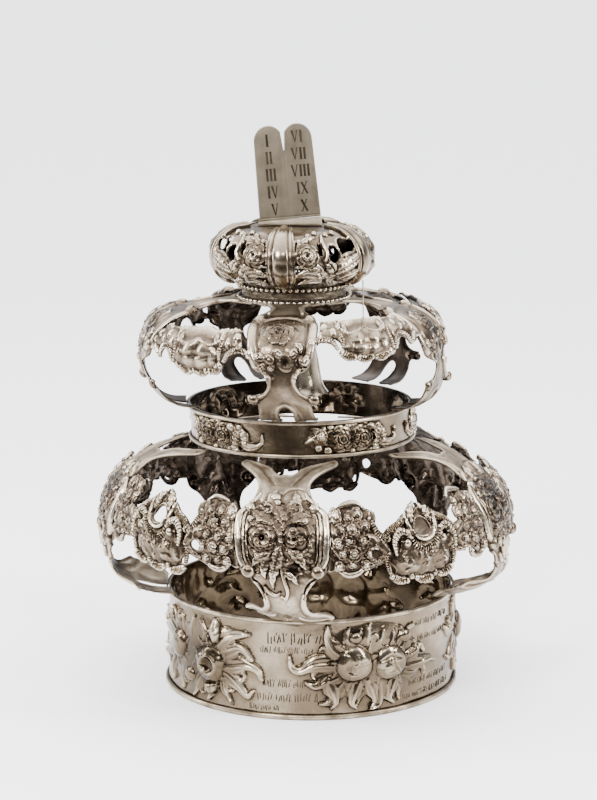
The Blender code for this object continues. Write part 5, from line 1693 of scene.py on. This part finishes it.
studio = {
    "floor": 30.0,
    "sky": 12.0,
    # brightness by height
    "overhead": ((0.0, 0.275), (0.10, 0.13), (0.28, 0.09), (0.46, 0.20), (0.62, 0.8), (1.0, 1.0)),
    "ahead": ((0.0, 0.17), (0.30, 0.275), (0.6, 0.5), (1.0, 0.65)),  # from the camera's side to the far side
    "lights": (  # place, size, power
        ("keyBox", (-0.75, -1.25, 1.15), (0.45, 0.45), 30.0),
        ("rightBox", (1.25, -0.55, 0.85), (0.25, 0.8), 24.0),
        ("leftStrip", (-1.35, 0.1, 0.7), (0.2, 0.9), 18.0),
        ("frontStrip", (0.35, -1.7, 1.5), (0.7, 0.15), 12.0),
    ),
    "aim": (0, 0, 0.18),
    "camera": (-0.00522, -1.6153, 0.5087), "pitch": 11.004, "roll": -0.277, "lens": 108.78, "film": 36,
}
dimRoom = {  # what the silver sees past the front of the table
    "near": -0.42, "far": -0.78, "reach": 4.0, "halfNear": 1.1, "halfFar": 2.6, "lift": 0.001,
    "tones": ((0.0, (0.95, 0.95, 0.95)), (0.5, (0.42, 0.40, 0.37)), (1.0, (0.13, 0.115, 0.10))),
}


def stageCard(name, corners, material, onlyReflected=False):
    mesh = bpy.data.meshes.new(name)
    mesh.from_pydata(corners, [], [(0, 1, 2, 3)])
    mesh.materials.append(material)
    card = bpy.data.objects.new(name, mesh)
    bpy.context.scene.collection.objects.link(card)
    if onlyReflected:
        card.visible_camera = card.visible_shadow = card.visible_diffuse = False


paper, paperTree, paperShader = newMaterial("studioPaper")
feed(paperTree, paperShader, {"Base Color": (0.95, 0.95, 0.96, 1), "Roughness": 0.9,
                              "Specular IOR Level": 0.1})
r = studio["floor"]
stageCard("floor", [(-r, -r, 0), (r, -r, 0), (r, r, 0), (-r, r, 0)], paper)

# the dim room beyond the front of the table only shows as a reflection in the silver
room, roomTree, roomShader = newMaterial("dimRoom")
roomParts = newNode(roomTree, "SeparateXYZ", {"Vector": newNode(roomTree, "TexCoord").outputs["Object"]})
roomShare = newNode(roomTree, "MapRange", {"Value": roomParts.outputs["Y"], "From Min": dimRoom["near"],
                                           "From Max": dimRoom["far"]}).outputs["Result"]
feed(roomTree, roomShader, {"Base Color": (0, 0, 0, 1), "Specular IOR Level": 0, "Emission Strength": 1.0,
                            "Emission Color": newRamp(roomTree, dimRoom["tones"], roomShare)})
near, far, lift = dimRoom["near"], -dimRoom["reach"], dimRoom["lift"]
wideNear, wideFar = dimRoom["halfNear"], dimRoom["halfFar"]
stageCard("roomCard", [(-wideFar, far, lift), (wideFar, far, lift), (wideNear, near, lift),
                       (-wideNear, near, lift)], room, onlyReflected=True)

world = bpy.data.worlds.new("studio")
bpy.context.scene.world = world
world.use_nodes = True
skyTree = world.node_tree
towards = newNode(skyTree, "TexCoord").outputs["Generated"]
parts = newNode(skyTree, "SeparateXYZ", {"Vector": towards})
grey = lambda stops: [(at, (v, v, v)) for at, v in stops]
byHeight = newRamp(skyTree, grey(studio["overhead"]), parts.outputs["Z"])
depthShare = newNode(skyTree, "Math", {0: parts.outputs["Y"], 1: 0.5, 2: 0.5}, operation="MULTIPLY_ADD")
byDepth = newRamp(skyTree, grey(studio["ahead"]), depthShare.outputs["Value"])
both = newNode(skyTree, "Math", {0: byHeight, 1: byDepth}, operation="MULTIPLY").outputs["Value"]
strength = newNode(skyTree, "Math", {0: both, 1: studio["sky"]}, operation="MULTIPLY").outputs["Value"]
feed(skyTree, skyTree.nodes["Background"], {"Color": (0.97, 0.98, 1.0, 1), "Strength": strength})

for name, at, size, power in studio["lights"]:
    light = bpy.data.lights.new(name, "AREA")
    light.shape, light.energy = "RECTANGLE", power
    light.size, light.size_y = size
    made = bpy.data.objects.new(name, light)
    bpy.context.scene.collection.objects.link(made)
    made.location = at
    made.rotation_euler = (Vector(studio["aim"]) - Vector(at)).to_track_quat("-Z", "Y").to_euler()

camera = bpy.data.objects.new("camera", bpy.data.cameras.new("camera"))
bpy.context.scene.collection.objects.link(camera)
camera.location = studio["camera"]
pitched = Euler((math.radians(90 - studio["pitch"]), 0, 0)).to_matrix()
camera.rotation_euler = (pitched @ Matrix.Rotation(math.radians(studio["roll"]), 3, "Z")).to_euler()
camera.data.lens, camera.data.sensor_width = studio["lens"], studio["film"]
bpy.context.scene.camera = camera

print("scene ready")
